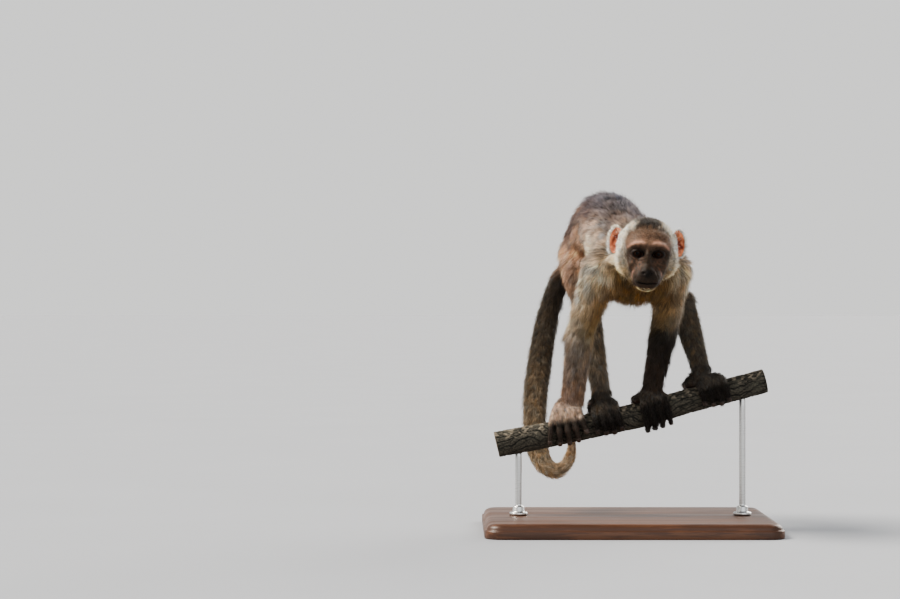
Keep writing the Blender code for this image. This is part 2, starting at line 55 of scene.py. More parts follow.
# The head's own frame: turned to face forward, then turned, nodded and tipped by a few degrees.
HEAD_TURN = np.array(
    Matrix.Rotation(math.radians(180 - 2.6), 3, "Z")
    @ Matrix.Rotation(math.radians(-5.0), 3, "X")
    @ Matrix.Rotation(math.radians(-3.3), 3, "Y")
)
EYE_MIDDLE = np.mean([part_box("eye_right"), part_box("eye_left")], axis=(0, 1))
EYE_OUT, EYE_ROUND = 12.5, 8.3  # mm from the head's middle, and the ball's radius
WELD_STEPS = 1e6  # steps to the metre: corners that round to the same step are one


def corners_of(mesh):
    """A mesh's corner places."""
    places = np.empty(3 * len(mesh.vertices), np.float32)
    mesh.vertices.foreach_get("co", places)
    return places.reshape(-1, 3).astype(float)


def triangles_of(mesh):
    """A mesh's faces as triangles of corner numbers."""
    mesh.calc_loop_triangles()
    sides = np.empty(3 * len(mesh.loop_triangles), np.int32)
    mesh.loop_triangles.foreach_get("vertices", sides)
    return sides.reshape(-1, 3)


def frame_shape(name):
    """A frame part's corners, those at one place merged, and its triangles."""
    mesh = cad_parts[name].data
    places = corners_of(mesh)
    steps = np.round(places * WELD_STEPS).astype(np.int64)
    _, first, merged = np.unique(steps, axis=0, return_index=True, return_inverse=True)
    sides = merged.reshape(-1)[triangles_of(mesh)]
    whole = (sides != np.roll(sides, 1, axis=1)).all(axis=1)
    return places[first], sides[whole]


def unit(v):
    """Vectors divided by their lengths."""
    return v / np.maximum(np.linalg.norm(v, axis=-1, keepdims=True), 1e-12)


def corner_normals(places, triangles):
    """Each corner's normal: the sum of its triangles' area vectors, made one long."""
    a, b, c = (places[triangles[:, k]] for k in range(3))
    area = np.cross(b - a, c - a)
    total = np.stack(
        [np.bincount(triangles.ravel(), np.repeat(area[:, k], 3), len(places)) for k in range(3)], axis=1
    )
    return unit(total)


def step(low, high, value):
    """0 below low, 1 above high, and a smooth S between; low may be the larger."""
    t = np.clip((value - low) / (high - low), 0, 1)
    return t * t * (3 - 2 * t)


def make_mesh(name, places, faces, smooth=True):
    """A mesh object at the origin, from corners and faces of one size."""
    mesh = bpy.data.meshes.new(name)
    count, size = faces.shape
    mesh.vertices.add(len(places))
    mesh.vertices.foreach_set("co", places.astype(np.float32).ravel())
    mesh.loops.add(count * size)
    mesh.loops.foreach_set("vertex_index", faces.astype(np.int32).ravel())
    mesh.polygons.add(count)
    mesh.polygons.foreach_set("loop_start", np.arange(0, count * size, size, dtype=np.int32))
    mesh.update(calc_edges=True)
    mesh.polygons.foreach_set("use_smooth", np.full(count, smooth))
    obj = bpy.data.objects.new(name, mesh)
    bpy.context.scene.collection.objects.link(obj)
    return obj


def smooth_path(points, values, count):
    """A Catmull-Rom curve through points at count even steps, with a value carried along each."""
    p = np.array(points, float)
    p = np.vstack([2 * p[0] - p[1], p, 2 * p[-1] - p[-2]])
    t = np.linspace(0, len(points) - 1, count)
    i = np.minimum(t.astype(int), len(points) - 2)
    s = (t - i)[:, None]
    a, b, c, d = p[i], p[i + 1], p[i + 2], p[i + 3]
    line = 0.5 * (2 * b + (c - a) * s + (2 * a - 5 * b + 4 * c - d) * s**2 + (3 * b - a - 3 * c + d) * s**3)
    return line, np.interp(t, np.arange(len(values)), values)


def closed_rings(rings, first, last):
    """Corners and triangles of a wall over rings of corners, closed to a pole at each end."""
    n, around = rings.shape[:2]
    k, j = np.meshgrid(np.arange(n - 1), np.arange(around), indexing="ij")
    here, after = k * around + j, k * around + (j + 1) % around
    low = np.stack([here, after, after + around], axis=-1).reshape(-1, 3)
    high = np.stack([here, after + around, here + around], axis=-1).reshape(-1, 3)
    j = np.arange(around)
    start = np.stack([np.full(around, n * around), (j + 1) % around, j], axis=1)
    end = (n - 1) * around + np.stack([j, (j + 1) % around], axis=1)
    end = np.column_stack([np.full(around, n * around + 1), end])
    return np.vstack([rings.reshape(-1, 3), [first, last]]), np.vstack([low, high, start, end])


def tube(points, radii, count=24, around=20):
    """A closed tube on a smooth path: rings across the path, drawn in over round ends to two poles."""
    line, r = smooth_path(points, radii, count)
    heading = unit(np.gradient(line, axis=0))
    turns = np.radians([80, 62, 42, 21])
    low = [line[0] - heading[0] * r[0] * math.sin(t) for t in turns]
    high = [line[-1] + heading[-1] * r[-1] * math.sin(t) for t in turns[::-1]]
    centres = np.vstack([low, line, high])
    widths = np.concatenate([r[0] * np.cos(turns), r, r[-1] * np.cos(turns[::-1])])
    heading = np.vstack([heading[:1]] * len(turns) + [heading] + [heading[-1:]] * len(turns))
    side = unit(np.cross(heading, np.where(np.abs(heading[:, :1]) < 0.9, [[1.0, 0, 0]], [[0, 1.0, 0]])))
    up = np.cross(side, heading)
    angle = np.linspace(0, 2 * math.pi, around, endpoint=False)[None, :, None]
    spokes = np.cos(angle) * side[:, None] + np.sin(angle) * up[:, None]
    rings = centres[:, None] + widths[:, None, None] * spokes
    return closed_rings(rings, line[0] - heading[0] * r[0], line[-1] + heading[-1] * r[-1])


BRANCH_X = (-0.163, -0.109, -0.047, 0.015, 0.077, 0.170)
BRANCH_Z = (0.1059, 0.1158, 0.1289, 0.1425, 0.1605, 0.1848)
BRANCH_RADII = (0.0162, 0.0160, 0.0157, 0.0160, 0.0153, 0.0150)
branch_run = np.array([BRANCH_X[-1] - BRANCH_X[0], 0, BRANCH_Z[-1] - BRANCH_Z[0]])
branch_run /= np.linalg.norm(branch_run)
BRANCH_UP = np.array([-branch_run[2], 0, branch_run[0]])
WRISTS = {"right": (-0.0690, 0.003, 0.1600), "left": (0.0285, -0.010, 0.1725)}
ELBOWS = {"right": (-0.0596, -0.011, 0.2481), "left": (0.0473, 0.015, 0.2529)}
ANKLES = {"right": (-0.0320, 0.017, 0.1690), "left": (0.0920, 0.013, 0.1980)}
# Each digit: place along the branch at its knuckle and its tip, turn round the branch from top to
# front at the knuckle and how far it reaches on, in degrees, and its radius in mm. Thumb last.
DIGITS = {
    "hand_right": (
        (-0.0925, -0.0995, 46, 66, 3.7), (-0.0836, -0.0878, 46, 78, 4.1), (-0.0746, -0.0764, 46, 82, 4.2),
        (-0.0657, -0.0650, 46, 78, 4.1), (-0.0575, -0.0535, 34, 66, 4.2),
    ),
    "hand_left": (
        (0.0462, 0.0484, 66, 96, 3.8), (0.0374, 0.0387, 66, 118, 4.1), (0.0286, 0.0292, 66, 124, 4.2),
        (0.0200, 0.0198, 66, 112, 4.1), (0.0150, 0.0115, 10, -92, 4.2),
    ),
    "foot_right": (
        (-0.0395, -0.0405, 44, 64, 3.9), (-0.0306, -0.0306, 44, 75, 4.2), (-0.0217, -0.0208, 44, 78, 4.3),
        (-0.0130, -0.0110, 44, 71, 4.1), (-0.0385, -0.0435, -22, -74, 5.0),
    ),
    "foot_left": (
        (0.0922, 0.0920, 38, 68, 3.9), (0.1014, 0.1020, 38, 80, 4.2), (0.1103, 0.1119, 38, 83, 4.3),
        (0.1190, 0.1215, 38, 76, 4.1), (0.0820, 0.0760, -18, -78, 5.0),
    ),
}
KNEES = {"left": (0.0740, 0.085, 0.2854), "right": (-0.0485, 0.056, 0.2725)}
HEELS = {"right": (-0.0405, 0.0270, 0.1530), "left": (0.0770, 0.0250, 0.1790)}
INSTEPS = {"right": (-0.0305, 0.0010, 0.1545), "left": (0.0925, 0.0010, 0.1850)}
SLIM = 0.05  # mm that hair keeps the hide inside the frame's fingers
THUMB = 4  # a hand's last digit, which leaves from the wrist and not from a knuckle


def round_branch(x, angle, lift):
    """Places lift above the bark at an angle in degrees from the branch's top towards its front."""
    x, angle, lift = np.broadcast_arrays(np.asarray(x, float), np.radians(angle), lift)
    centre = np.stack([x, 0 * x, np.interp(x, BRANCH_X, BRANCH_Z)], axis=-1)
    out = np.cos(angle)[..., None] * BRANCH_UP + np.sin(angle)[..., None] * np.array([0, -1.0, 0])
    return centre + (np.interp(x, BRANCH_X, BRANCH_RADII) + lift)[..., None] * out


def digit_line(x_base, x_tip, start, reach, radius):
    """A digit's middle line and radii: it arches over two joints, swollen at both and at the tip's pad."""
    t = np.linspace(0, 1, 13)
    r = radius * MM * (1.08 - 0.27 * t + 0.085 * np.cos(4 * math.pi * t)) - SLIM * MM
    lift = radius * MM + 0.0012 * np.sin(math.pi * t) - 0.0004 * np.sin(2 * math.pi * t) ** 2
    return round_branch(x_base + (x_tip - x_base) * t, start + reach * t, lift), r


def grip_tubes(name):
    """The tubes of one hand or foot: wrist or heel and instep, a ray to each knuckle, and the digits."""
    kind, side = name.split("_")
    made = []
    if kind == "hand":
        wrist = np.array(WRISTS[side])
        above = wrist + 0.30 * (np.array(ELBOWS[side]) - wrist)
        root = wrist + np.array([0, -0.003, -0.003])
        made.append(tube([above, wrist, root], (0.0098, 0.0096, 0.0094)))
    else:
        ankle, heel, root = (np.array(p[side]) for p in (ANKLES, HEELS, INSTEPS))
        made.append(tube([ankle, ankle + 0.55 * (root - ankle), root], (0.0116, 0.0116, 0.0102)))
        middle = heel + 0.5 * (root - heel) + np.array([0, 0, 0.002])
        made.append(tube([heel, middle, root], (0.0080, 0.0104, 0.0102)))
    for i, (x_base, x_tip, start, reach, radius) in enumerate(DIGITS[name]):
        line, r = digit_line(x_base, x_tip, start, reach, radius)
        made.append(tube(line, r, 30))
        if i < THUMB:
            knuckle = round_branch(x_base, start, (radius + 1.0) * MM)
            begin = np.array([root[0] + 0.45 * (x_base - root[0]), root[1], root[2]])
            middle = begin + 0.55 * (knuckle - begin) + np.array([0, 0, 0.0010])
            made.append(tube([begin, middle, knuckle], (0.0090, 0.0074, 1.14 * radius * MM - SLIM * MM)))
        else:
            made.append(tube([root, line[0], line[1]], (0.0084, 1.12 * r[0], r[1])))
    return made


EAR_PLACE = (31.6, -32.5, 10.8)
EAR_HALF_HEIGHT, EAR_HALF_WIDTH, EAR_CUP, EAR_WALL = 15.8, 9.8, 5.8, 2.2


def ear_shell(side):
    """A cupped ear: half an egg open to the front, its two faces joined over a rolled rim. A face is rho
    (0 to 1) out from the cup's middle and phi round it; its depth falls as the root of 1 - rho squared,
    and a fold runs inside the rim, higher towards the outer edge."""
    rho = np.sin(np.linspace(0.04, 1, 12) * math.pi / 2)[:, None]
    phi = np.linspace(0, 2 * math.pi, 44, endpoint=False)[None, :]

    def face(half, fold):
        x = rho * np.cos(phi) * (EAR_HALF_WIDTH + half)
        z = rho * np.sin(phi) * (EAR_HALF_HEIGHT + half)
        y = -(EAR_CUP + half) * np.sqrt(1 - (0.985 * rho) ** 2)
        y = y + fold * np.exp(-(((rho - 0.70) / 0.11) ** 2)) * step(-0.7, 0.4, np.cos(phi))
        taper = 1 - 0.12 * np.maximum(-z / EAR_HALF_HEIGHT, 0)
        return np.stack([x * taper, y, z], axis=-1)

    inside, outside = face(-EAR_WALL / 2, 1.4), face(EAR_WALL / 2, 0.0)
    rim = (inside[-1] + outside[-1])[None] / 2 + [0, 1.2, 0]
    rings = np.vstack([inside, rim, outside[::-1]])
    places, faces = closed_rings(rings, inside[0].mean(axis=0), outside[0].mean(axis=0))
    lean = Matrix.Rotation(math.radians(-8), 3, "Y") @ Matrix.Rotation(math.radians(-43), 3, "Z")
    local = (places + [EAR_HALF_WIDTH, 0, 0]) @ np.array(lean).T + EAR_PLACE
    return EYE_MIDDLE + (local * [side, 1, 1] * MM) @ HEAD_TURN.T, faces


def swelling(name):
    """How far a part's surface is moved out before the remesh, to close the cuts between parts."""
    return 0.9 * MM if name.startswith(("forearm_", "shank_", "neck")) else 0.6 * MM


SKIN_CELL = 0.00110
SKIN_TRIANGLES = 104000  # about how many the hide keeps once it is thinned
corners, triangles, owner, before = [], [], [], 0
plain_corners, plain_triangles, plain_before = [], [], 0
for number, name in enumerate(FLESH + ["eye_right", "eye_left"]):
    places, sides = frame_shape(name)
    if name in FLESH:
        plain_corners.append(places)
        plain_triangles.append(sides + plain_before)
        plain_before += len(places)
        owner += [number] * len(sides)
    if name in DIGITS:
        shapes = grip_tubes(name)
    elif name.startswith("ear_"):
        shapes = [ear_shell(1 if name == "ear_right" else -1)]
    else:
        shapes = [(places + corner_normals(places, sides) * swelling(name), sides)]
    for places, sides in shapes:
        corners.append(places)
        triangles.append(sides + before)
        before += len(places)
flesh_tree = BVHTree.FromPolygons(np.vstack(plain_corners).tolist(), np.vstack(plain_triangles).tolist())
raw = make_mesh("hide", np.vstack(corners), np.vstack(triangles))
remesh = raw.modifiers.new("close", "REMESH")
remesh.mode = "VOXEL"
remesh.voxel_size = SKIN_CELL


def evaluated(obj):
    """The mesh of an object with its modifiers applied."""
    return bpy.data.meshes.new_from_object(obj.evaluated_get(bpy.context.evaluated_depsgraph_get()))


def edge_pairs(faces):
    """Each edge of the faces once, as two corner numbers."""
    pairs = np.concatenate([faces[:, [k, (k + 1) % faces.shape[1]]] for k in range(faces.shape[1])])
    pairs = np.unique(np.sort(pairs, axis=1), axis=0)
    return pairs[pairs[:, 0] != pairs[:, 1]]


def relaxed(values, pairs, passes, share=0.5):
    """Values moved share of the way to the mean of their neighbours, passes times."""
    values = np.array(values, float).reshape(len(values), -1)
    a, b = pairs.T
    near = np.bincount(pairs.ravel(), minlength=len(values))[:, None]
    for _ in range(passes):
        total = np.stack(
            [
                np.bincount(a, values[b, k], len(values)) + np.bincount(b, values[a, k], len(values))
                for k in range(values.shape[1])
            ],
            axis=1,
        )
        values = values + share * (total / near - values)
    return values


def in_head(places):
    """Places in the head's own millimetres: x to its right, y forward, z up, from between its eyes."""
    return (places - EYE_MIDDLE) @ HEAD_TURN / MM


closed = evaluated(raw)
bpy.data.objects.remove(raw)
dense = bpy.data.objects.new("dense", closed)
bpy.context.scene.collection.objects.link(dense)
hide, faces = corners_of(closed), triangles_of(closed)
part_of_face = np.array(owner)
part = np.array([part_of_face[flesh_tree.find_nearest(p)[2]] for p in hide.tolist()])
PART = {name: number for number, name in enumerate(FLESH)}


def of_parts(values, default=0.0, passes=0):
    """One number per corner of the hide, from a table whose keys begin the parts' names, softened
    across the parts' borders by so many passes."""
    table = np.full(len(FLESH), float(default))
    for name, number in PART.items():
        for key, value in values.items():
            if name.startswith(key):
                table[number] = value
    return relaxed(table[part], pairs, passes)[:, 0]


pairs = edge_pairs(faces)
q = in_head(hide)
on_head = part == PART["head"]
on_ear = (part == PART["ear_right"]) | (part == PART["ear_left"])


def drift(places, scale, seed):
    """Soft cloudy values between -1 and 1: a sum of nine waves in set directions, scale metres long."""
    chance = np.random.default_rng(seed)
    ways = unit(chance.normal(size=(9, 3))) * chance.uniform(0.6, 1.7, (9, 1)) * 2 * math.pi / scale
    phase = chance.uniform(0, 2 * math.pi, 9)
    return np.sin(places @ ways.T + phase).sum(axis=1) / 4.2


FACE_HEIGHTS = (-46, -43, -40, -36, -30, -24, -15, 0, 12, 30)
FACE_HALF_WIDTHS = (4, 10, 13.5, 17, 20, 22.5, 26, 29.5, 30, 26.5)


def bare_face(q):
    """1 on the bare face and 0 off it, in the head's mm: widest at the eyes, drawn in to the chin, with a
    hairline arched over the brow."""
    half = np.interp(q[:, 2], FACE_HEIGHTS, FACE_HALF_WIDTHS)
    ragged = 1 + 0.05 * drift(q * [1, 0.3, 1], 9.0, 1) + 0.04 * drift(q, 4.0, 2)
    sides = step(1.16, 0.84, np.abs(q[:, 0]) / (half * ragged))
    hairline = 30.5 - 0.009 * q[:, 0] ** 2 + 1.6 * drift(q * [1, 0, 0], 9.0, 6)
    return sides * step(2.5, -2, q[:, 2] - hairline) * step(-47, -43, q[:, 2]) * step(-20, -8, q[:, 1])


bare = bare_face(q) * on_head
cheek = on_head * step(18, 30, np.abs(q[:, 0])) * step(16, -8, q[:, 2])
# The coat's depth in mm, by which the hide is sunk under the frame's surface.
depth = of_parts({
    "hips": 6.0, "belly": 6.5, "chest": 6.5, "neck": 7.5, "upper_arm": 6.0, "forearm": 4.6, "thigh": 6.0,
    "shank": 4.4, "tail_base": 6.0, "tail_middle": 6.2, "tail_end": 3.6, "hand": 0.0, "foot": 0.0,
    "head": 3.8, "ear": 0.1,
})
depth = np.where(on_head, depth + 2.6 * cheek, depth)
TAIL_TIP = np.array([-0.0717, 0.025, 0.1184])


def near_tail_tip():
    """1 at the tail's tip, fading to 0 along its last 85 mm."""
    return step(0.085, 0.012, np.linalg.norm(hide - TAIL_TIP, axis=1)) * (part == PART["tail_end"])


depth = depth * (1 - 0.55 * near_tail_tip())
depth = np.where(on_ear, depth, relaxed(depth, pairs, 30)[:, 0])
depth = depth * (1 - bare) + 0.45 * bare
ear_zone = step(29.5, 34, np.abs(q[:, 0])) * step(-24, -28, q[:, 1]) * step(-60, -54, q[:, 1])
ear_zone = ear_zone * (on_head | on_ear)
depth = (relaxed(depth, pairs, 24)[:, 0] * (1 - ear_zone) + 0.1 * ear_zone) * MM
softness = relaxed(of_parts({"hand": 0.32, "foot": 0.32, "ear": 0.15, "head": 0.42}, 0.6), pairs, 3)
hide = relaxed(hide, pairs, 6, softness)
for knee in KNEES.values():
    hide = relaxed(hide, pairs, 60, 0.6 * step(0.034, 0.014, np.linalg.norm(hide - knee, axis=1))[:, None])
SINK_STEPS = 8
for _ in range(SINK_STEPS):
    hide = hide - corner_normals(hide, faces) * depth[:, None] / SINK_STEPS
    hide = relaxed(hide, pairs, 1, softness * (depth[:, None] > 0.0012))
hide = relaxed(hide, pairs, 14, 0.5 * bare[:, None])
hide = relaxed(hide, pairs, 7, 0.45 * ear_zone[:, None])

# The close mesh is thinned where fur will hide it; the face, ears, hands and feet stay fine.
closed.vertices.foreach_set("co", hide.astype(np.float32).ravel())
closed.update()
q = in_head(hide)
fine = (q[:, 1] > -24) & (np.linalg.norm(q - [0, 0, -8], axis=1) < 44)
fine = fine | (part == PART["ear_right"]) | (part == PART["ear_left"])
grips = of_parts({"hand": 1.0, "foot": 1.0}) > 0
spare = np.where(fine, 0.0, np.where(grips, 0.45, np.where(on_head, 0.6, 1.0)))
spare = relaxed(spare, pairs, 6)[:, 0]
spare_group = dense.vertex_groups.new(name="spare")
tenths = np.round(spare * 10).astype(int)
for tenth in np.unique(tenths[tenths > 0]).tolist():
    spare_group.add(np.nonzero(tenths == tenth)[0].tolist(), tenth / 10, "REPLACE")
thin = dense.modifiers.new("thin", "DECIMATE")
thin.ratio = min(1.0, SKIN_TRIANGLES / (2 * len(closed.polygons)))
thin.vertex_group = "spare"
thin.vertex_group_factor = 0.012
done = evaluated(dense)
bpy.data.objects.remove(dense)
hide, faces = corners_of(done), triangles_of(done)


def largest_island(places, faces):
    """The largest joined part of a mesh: each corner takes its neighbours' least number till none changes."""
    pairs = edge_pairs(faces)
    label = np.arange(len(places))
    while True:
        least = np.minimum(label[pairs[:, 0]], label[pairs[:, 1]])
        lower = label.copy()
        np.minimum.at(lower, pairs[:, 0], least)
        np.minimum.at(lower, pairs[:, 1], least)
        lower = lower[lower]
        if (lower == label).all():
            break
        label = lower
    kept = label == np.bincount(label).argmax()
    renumbered = np.cumsum(kept) - 1
    return places[kept], renumbered[faces[kept[faces[:, 0]]]]


def split_finer(places, faces, chosen):
    """Every side of the chosen triangles cut in half, with the neighbours' faces cut to fit."""
    sides = np.sort(np.concatenate([faces[:, [k, (k + 1) % 3]] for k in range(3)]), axis=1)
    unique, index = np.unique(sides, axis=0, return_inverse=True)
    index = index.reshape(3, -1).T
    cut = np.zeros(len(unique), bool)
    cut[index[chosen].ravel()] = True
    number = np.where(cut, np.cumsum(cut) - 1 + len(places), -1)
    places = np.vstack([places, places[unique[cut]].mean(axis=1)])
    middle = number[index]
    count = (middle >= 0).sum(axis=1)
    made = [faces[count == 0]]
    (f0, f1, f2), (m0, m1, m2) = faces[count == 3].T, middle[count == 3].T
    made += [np.stack(s, axis=1) for s in ((f0, m0, m2), (m0, f1, m1), (m2, m1, f2), (m0, m1, m2))]
    for k in range(3):
        a, b, c = k, (k + 1) % 3, (k + 2) % 3
        one = (count == 1) & (middle[:, k] >= 0)
        f, m = faces[one], middle[one, k]
        made += [np.stack([f[:, a], m, f[:, c]], axis=1), np.stack([m, f[:, b], f[:, c]], axis=1)]
        two = (count == 2) & (middle[:, c] < 0)
        f, m, n = faces[two], middle[two, a], middle[two, b]
        made += [np.stack(s, axis=1) for s in ((m, f[:, b], n), (f[:, a], m, n), (f[:, a], n, f[:, c]))]
    return places, np.vstack(made)


hide, faces = largest_island(hide, faces)
q = in_head(hide)
mask_area = (np.abs(q[:, 0]) < 27) & (q[:, 2] < 30) & (q[:, 2] > -48) & (q[:, 1] > -8)
hide, faces = split_finer(hide, faces, mask_area[faces].all(axis=1))
q = in_head(hide)
around_eye = np.hypot(np.abs(q[:, 0]) - EYE_OUT, 1.3 * q[:, 2]) < 9
around_mouth = (np.abs(q[:, 0]) < 17) & (np.abs(q[:, 2] + 33) < 3)
around_nose = (np.abs(q[:, 0]) < 9) & (np.abs(q[:, 2] + 20) < 5) & (q[:, 1] > 15)
features = (around_eye | around_mouth | around_nose) & (q[:, 1] > -2)
hide, faces = split_finer(hide, faces, features[faces].all(axis=1))
nearest = [flesh_tree.find_nearest(p) for p in hide.tolist()]
part = part_of_face[[found[2] for found in nearest]]
sunk = np.array([found[3] for found in nearest]) / MM
q = in_head(hide)
pairs = edge_pairs(faces)
on_head = part == PART["head"]
on_ear = (part == PART["ear_right"]) | (part == PART["ear_left"])
front = on_head & (q[:, 1] > -8)

# Dabs worked into the face, in the head's mm: middle (x is mirrored), spread along x, y and z, and how far
# the clay is pushed out (in, where negative).
DABS = (
    ((12.5, 12, 11.8), (9.5, 9, 3.2), 2.4),  # brow
    ((0, 12, 12), (5, 7, 4), 0.7),  # between the brows
    ((12.5, 9, 5.8), (8.5, 7, 2.6), -1.5),  # hollow over the eye
    ((5.4, 10, 0.5), (2.8, 7, 5.5), -2.0),  # inner corner
    ((21.5, 4, -1), (3.5, 7, 6), -0.8),  # outer corner
    ((13, 8, -7.6), (8, 7, 3.0), -1.0),  # hollow under the eye
    ((0, 14, -5), (3.0, 9, 9), 1.6),  # bridge
    ((0, 24, -16), (4.2, 7, 4.5), 0.9),  # tip of the nose
    ((7.0, 25, -20), (2.6, 5, 3.2), 0.8),  # wings
    ((5.0, 29, -21.2), (1.7, 4, 1.25), -2.6),  # nostrils
    ((0, 29, -22), (1.6, 4, 2.4), 0.7),  # wall between them
    ((10, 20, -27), (6.5, 8, 7), 1.5),  # whisker pads
    ((0, 28, -26.5), (1.1, 5, 3.2), -0.6),  # groove under the nose
    ((0, 25, -29.8), (11, 8, 1.9), 0.6),  # upper lip
    ((0, 23, -36), (9, 8, 2.0), 0.9),  # lower lip
    ((0, 20, -40.3), (9, 7, 1.6), -0.6),  # under the lip
    ((20, 4, -15), (5, 9, 6), 0.7),  # cheek bone
    ((18, 8, -24), (2.4, 9, 6), -0.8),  # behind the whisker pad
    ((16, 12, -40), (5.0, 10, 5.0), -3.6),  # corner of the jaw
    ((17, 14, -31), (3.6, 9, 5.0), -1.6),  # beside the mouth
)


def bell(centre, spread):
    """1 at a place in the head's mm (x mirrored), fading off as a bell of the given spread each way."""
    (cx, cy, cz), (rx, ry, rz) = centre, spread
    return np.exp(-(((ax - cx) / rx) ** 2) - ((y - cy) / ry) ** 2 - ((z - cz) / rz) ** 2)


def groove(along, off, width, depth):
    """A crease along a line: depth deep on it, fading off it as a bell of the given width, and with along."""
    return -depth * np.exp(-((off / width) ** 2)) * along


x, y, z = q.T.copy()
ax = np.abs(x)
push = np.zeros(len(q))
for centre, spread, amount in DABS:
    push += amount * bell(centre, spread)
mouth_line = -33.6 + 0.011 * ax**2 - 0.35 * np.cos(ax * 0.9) * step(6, 2, ax)
push += groove(step(13.5, 9, ax) * step(4, 10, y), z - mouth_line, 0.5, 1.3)
push += 0.3 * np.exp(-(((z - mouth_line - 1.5) / 0.8) ** 2)) * step(13, 9, ax) * step(4, 10, y)
fold = ax - (8.6 + 0.42 * np.maximum(-17 - z, 0))
push += groove(step(-14, -20, z) * step(-34, -28, z) * step(2, 8, y), fold, 1.1, 0.40)
wave = 0.5 * np.sin(0.35 * ax + 1.0) + 0.25 * np.sin(0.9 * x)
for height, crease in ((17.5, 0.22), (20.8, 0.20), (24.2, 0.15)):
    push += groove(step(19, 8, ax), z - height - wave, 0.55, crease)
push += groove(step(15, 9, z) * step(5, 9, z), ax - 3.2 - 0.1 * z, 0.6, 0.35)

# The lids: opening is 1 on their edge, an almond with a higher upper lid. Creases run round it, and the
# lids lie on the eyeball with a rounded edge, the hide inside them sunk behind the ball.
ALMOND = 1.8
eye_x, eye_z = ax - EYE_OUT, z - 0.05 * (ax - EYE_OUT)
opening = np.abs(eye_x / 5.6) ** ALMOND + np.abs(eye_z / np.where(eye_z > 0, 3.7, 3.2)) ** ALMOND
opening = opening ** (1 / ALMOND)
push += groove(step(-1, 1, eye_z), opening - 1.62, 0.10, 0.55)
push += groove(step(0, -2, eye_z), opening - 1.75, 0.14, 0.4)
push += groove(step(-3, -5, eye_z), opening - 2.35, 0.16, 0.35)
normal = corner_normals(hide, faces) @ HEAD_TURN
q = q + normal * (push * front)[:, None]
reach = eye_x**2 + z**2
ball = np.sqrt(np.maximum(EYE_ROUND**2 - reach, 0))
lid = np.sqrt(np.maximum((EYE_ROUND + 0.95) ** 2 - reach, 4))
lid = np.maximum(lid, q[:, 1] - 2.2 * step(1.1, 1.3, opening) - 9 * step(1.25, 1.1, opening))
rimmed = lid + 0.30 * np.exp(-(((opening - 1.12) / 0.09) ** 2))
level = rimmed + (q[:, 1] - rimmed) * step(1.2, 1.85, opening)
level = np.where(opening < 1.04, ball - 2.2 + (level - ball + 2.2) * step(0.90, 1.04, opening), level)
at_eye = front & (opening < 1.85) & (y > 1)
q[:, 1] = np.where(at_eye, level, q[:, 1])
hide = EYE_MIDDLE + q @ HEAD_TURN.T * MM

# The joints that the hair runs along, as places on the frame.
JOINTS = {
    "spine": (
        (-0.0422, 0.130, 0.3553), (-0.0292, 0.090, 0.3770), (-0.0168, 0.045, 0.3745),
        (-0.0004, -0.005, 0.3390), (0.0077, -0.045, 0.3319), (0.0122, -0.0771, 0.3375),
    ),
    "tail": (
        (-0.0552, 0.155, 0.3376), (-0.0725, 0.175, 0.3182), (-0.0868, 0.180, 0.2827),
        (-0.0964, 0.170, 0.2460), (-0.1038, 0.148, 0.2071), (-0.1101, 0.118, 0.1692),
        (-0.1132, 0.085, 0.1321), (-0.1123, 0.055, 0.1045), (-0.1042, 0.036, 0.0805),
        (-0.0882, 0.028, 0.0697), (-0.0732, 0.027, 0.0823), (-0.0681, 0.027, 0.1010), tuple(TAIL_TIP),
    ),
    "arm_right": ((-0.0382, -0.055, 0.3220), ELBOWS["right"], WRISTS["right"]),
    "arm_left": ((0.0525, -0.040, 0.3225), ELBOWS["left"], WRISTS["left"]),
    "leg_right": ((-0.0529, 0.128, 0.3475), KNEES["right"], ANKLES["right"]),
    "leg_left": ((-0.0160, 0.135, 0.3567), KNEES["left"], ANKLES["left"]),
}


def chain_of(name):
    """The chain of joints that a flesh part lies along, or None on the head and ears."""
    kind, _, side = name.rpartition("_")
    if name.startswith("tail"):
        return "tail"
    if kind in ("upper_arm", "forearm", "hand"):
        return f"arm_{side}"
    if kind in ("thigh", "shank", "foot"):
        return f"leg_{side}"
    return "spine" if name in ("hips", "belly", "chest", "neck") else None


CHAIN_STEPS = 24  # points on a chain from one joint to the next


def along_chain(places, joints):
    """For each place the run along a chain of joints (0, 1, 2 ... at the joints), the chain's heading there
    and the nearest point of it, from a smooth path cut into even steps."""
    count = CHAIN_STEPS * (len(joints) - 1) + 1
    line, _ = smooth_path(joints, range(len(joints)), count)
    gap = ((places[:, None] - line[None]) ** 2).sum(axis=2)
    near = gap.argmin(axis=1)
    return near / CHAIN_STEPS, unit(np.gradient(line, axis=0))[near], line[near]


run = np.zeros(len(hide))
heading = np.tile([0.0, 0, -1], (len(hide), 1))
middle = np.zeros_like(hide)
for name, number in PART.items():
    chain = chain_of(name)
    mine = part == number
    if chain and mine.any():
        run[mine], heading[mine], middle[mine] = along_chain(hide[mine], JOINTS[chain])
q = in_head(hide)
normal = corner_normals(hide, faces)


def coloured(*steps):
    """Linear colours for 0-255 display colours."""
    c = np.array(steps, float) / 255
    return np.where(c < 0.04045, c / 12.92, ((c + 0.055) / 1.055) ** 2.4)


def shade(*steps):
    """One linear colour for a display colour's red, green and blue."""
    return coloured(steps)[0]


def ramp(value, places, colours):
    """Colours of a value by straight steps between places, each colour given as display 0-255."""
    colours = coloured(*colours)
    return np.stack([np.interp(value, places, colours[:, k]) for k in range(3)], axis=-1)


def blended(a, b, share):
    """Colour a moved to colour b by share."""
    share = np.asarray(share)[..., None]
    return a * (1 - share) + b * share


def where_on(mask, b, a):
    """Colour b where the mask holds and a elsewhere."""
    return np.where(mask[:, None], b, a)


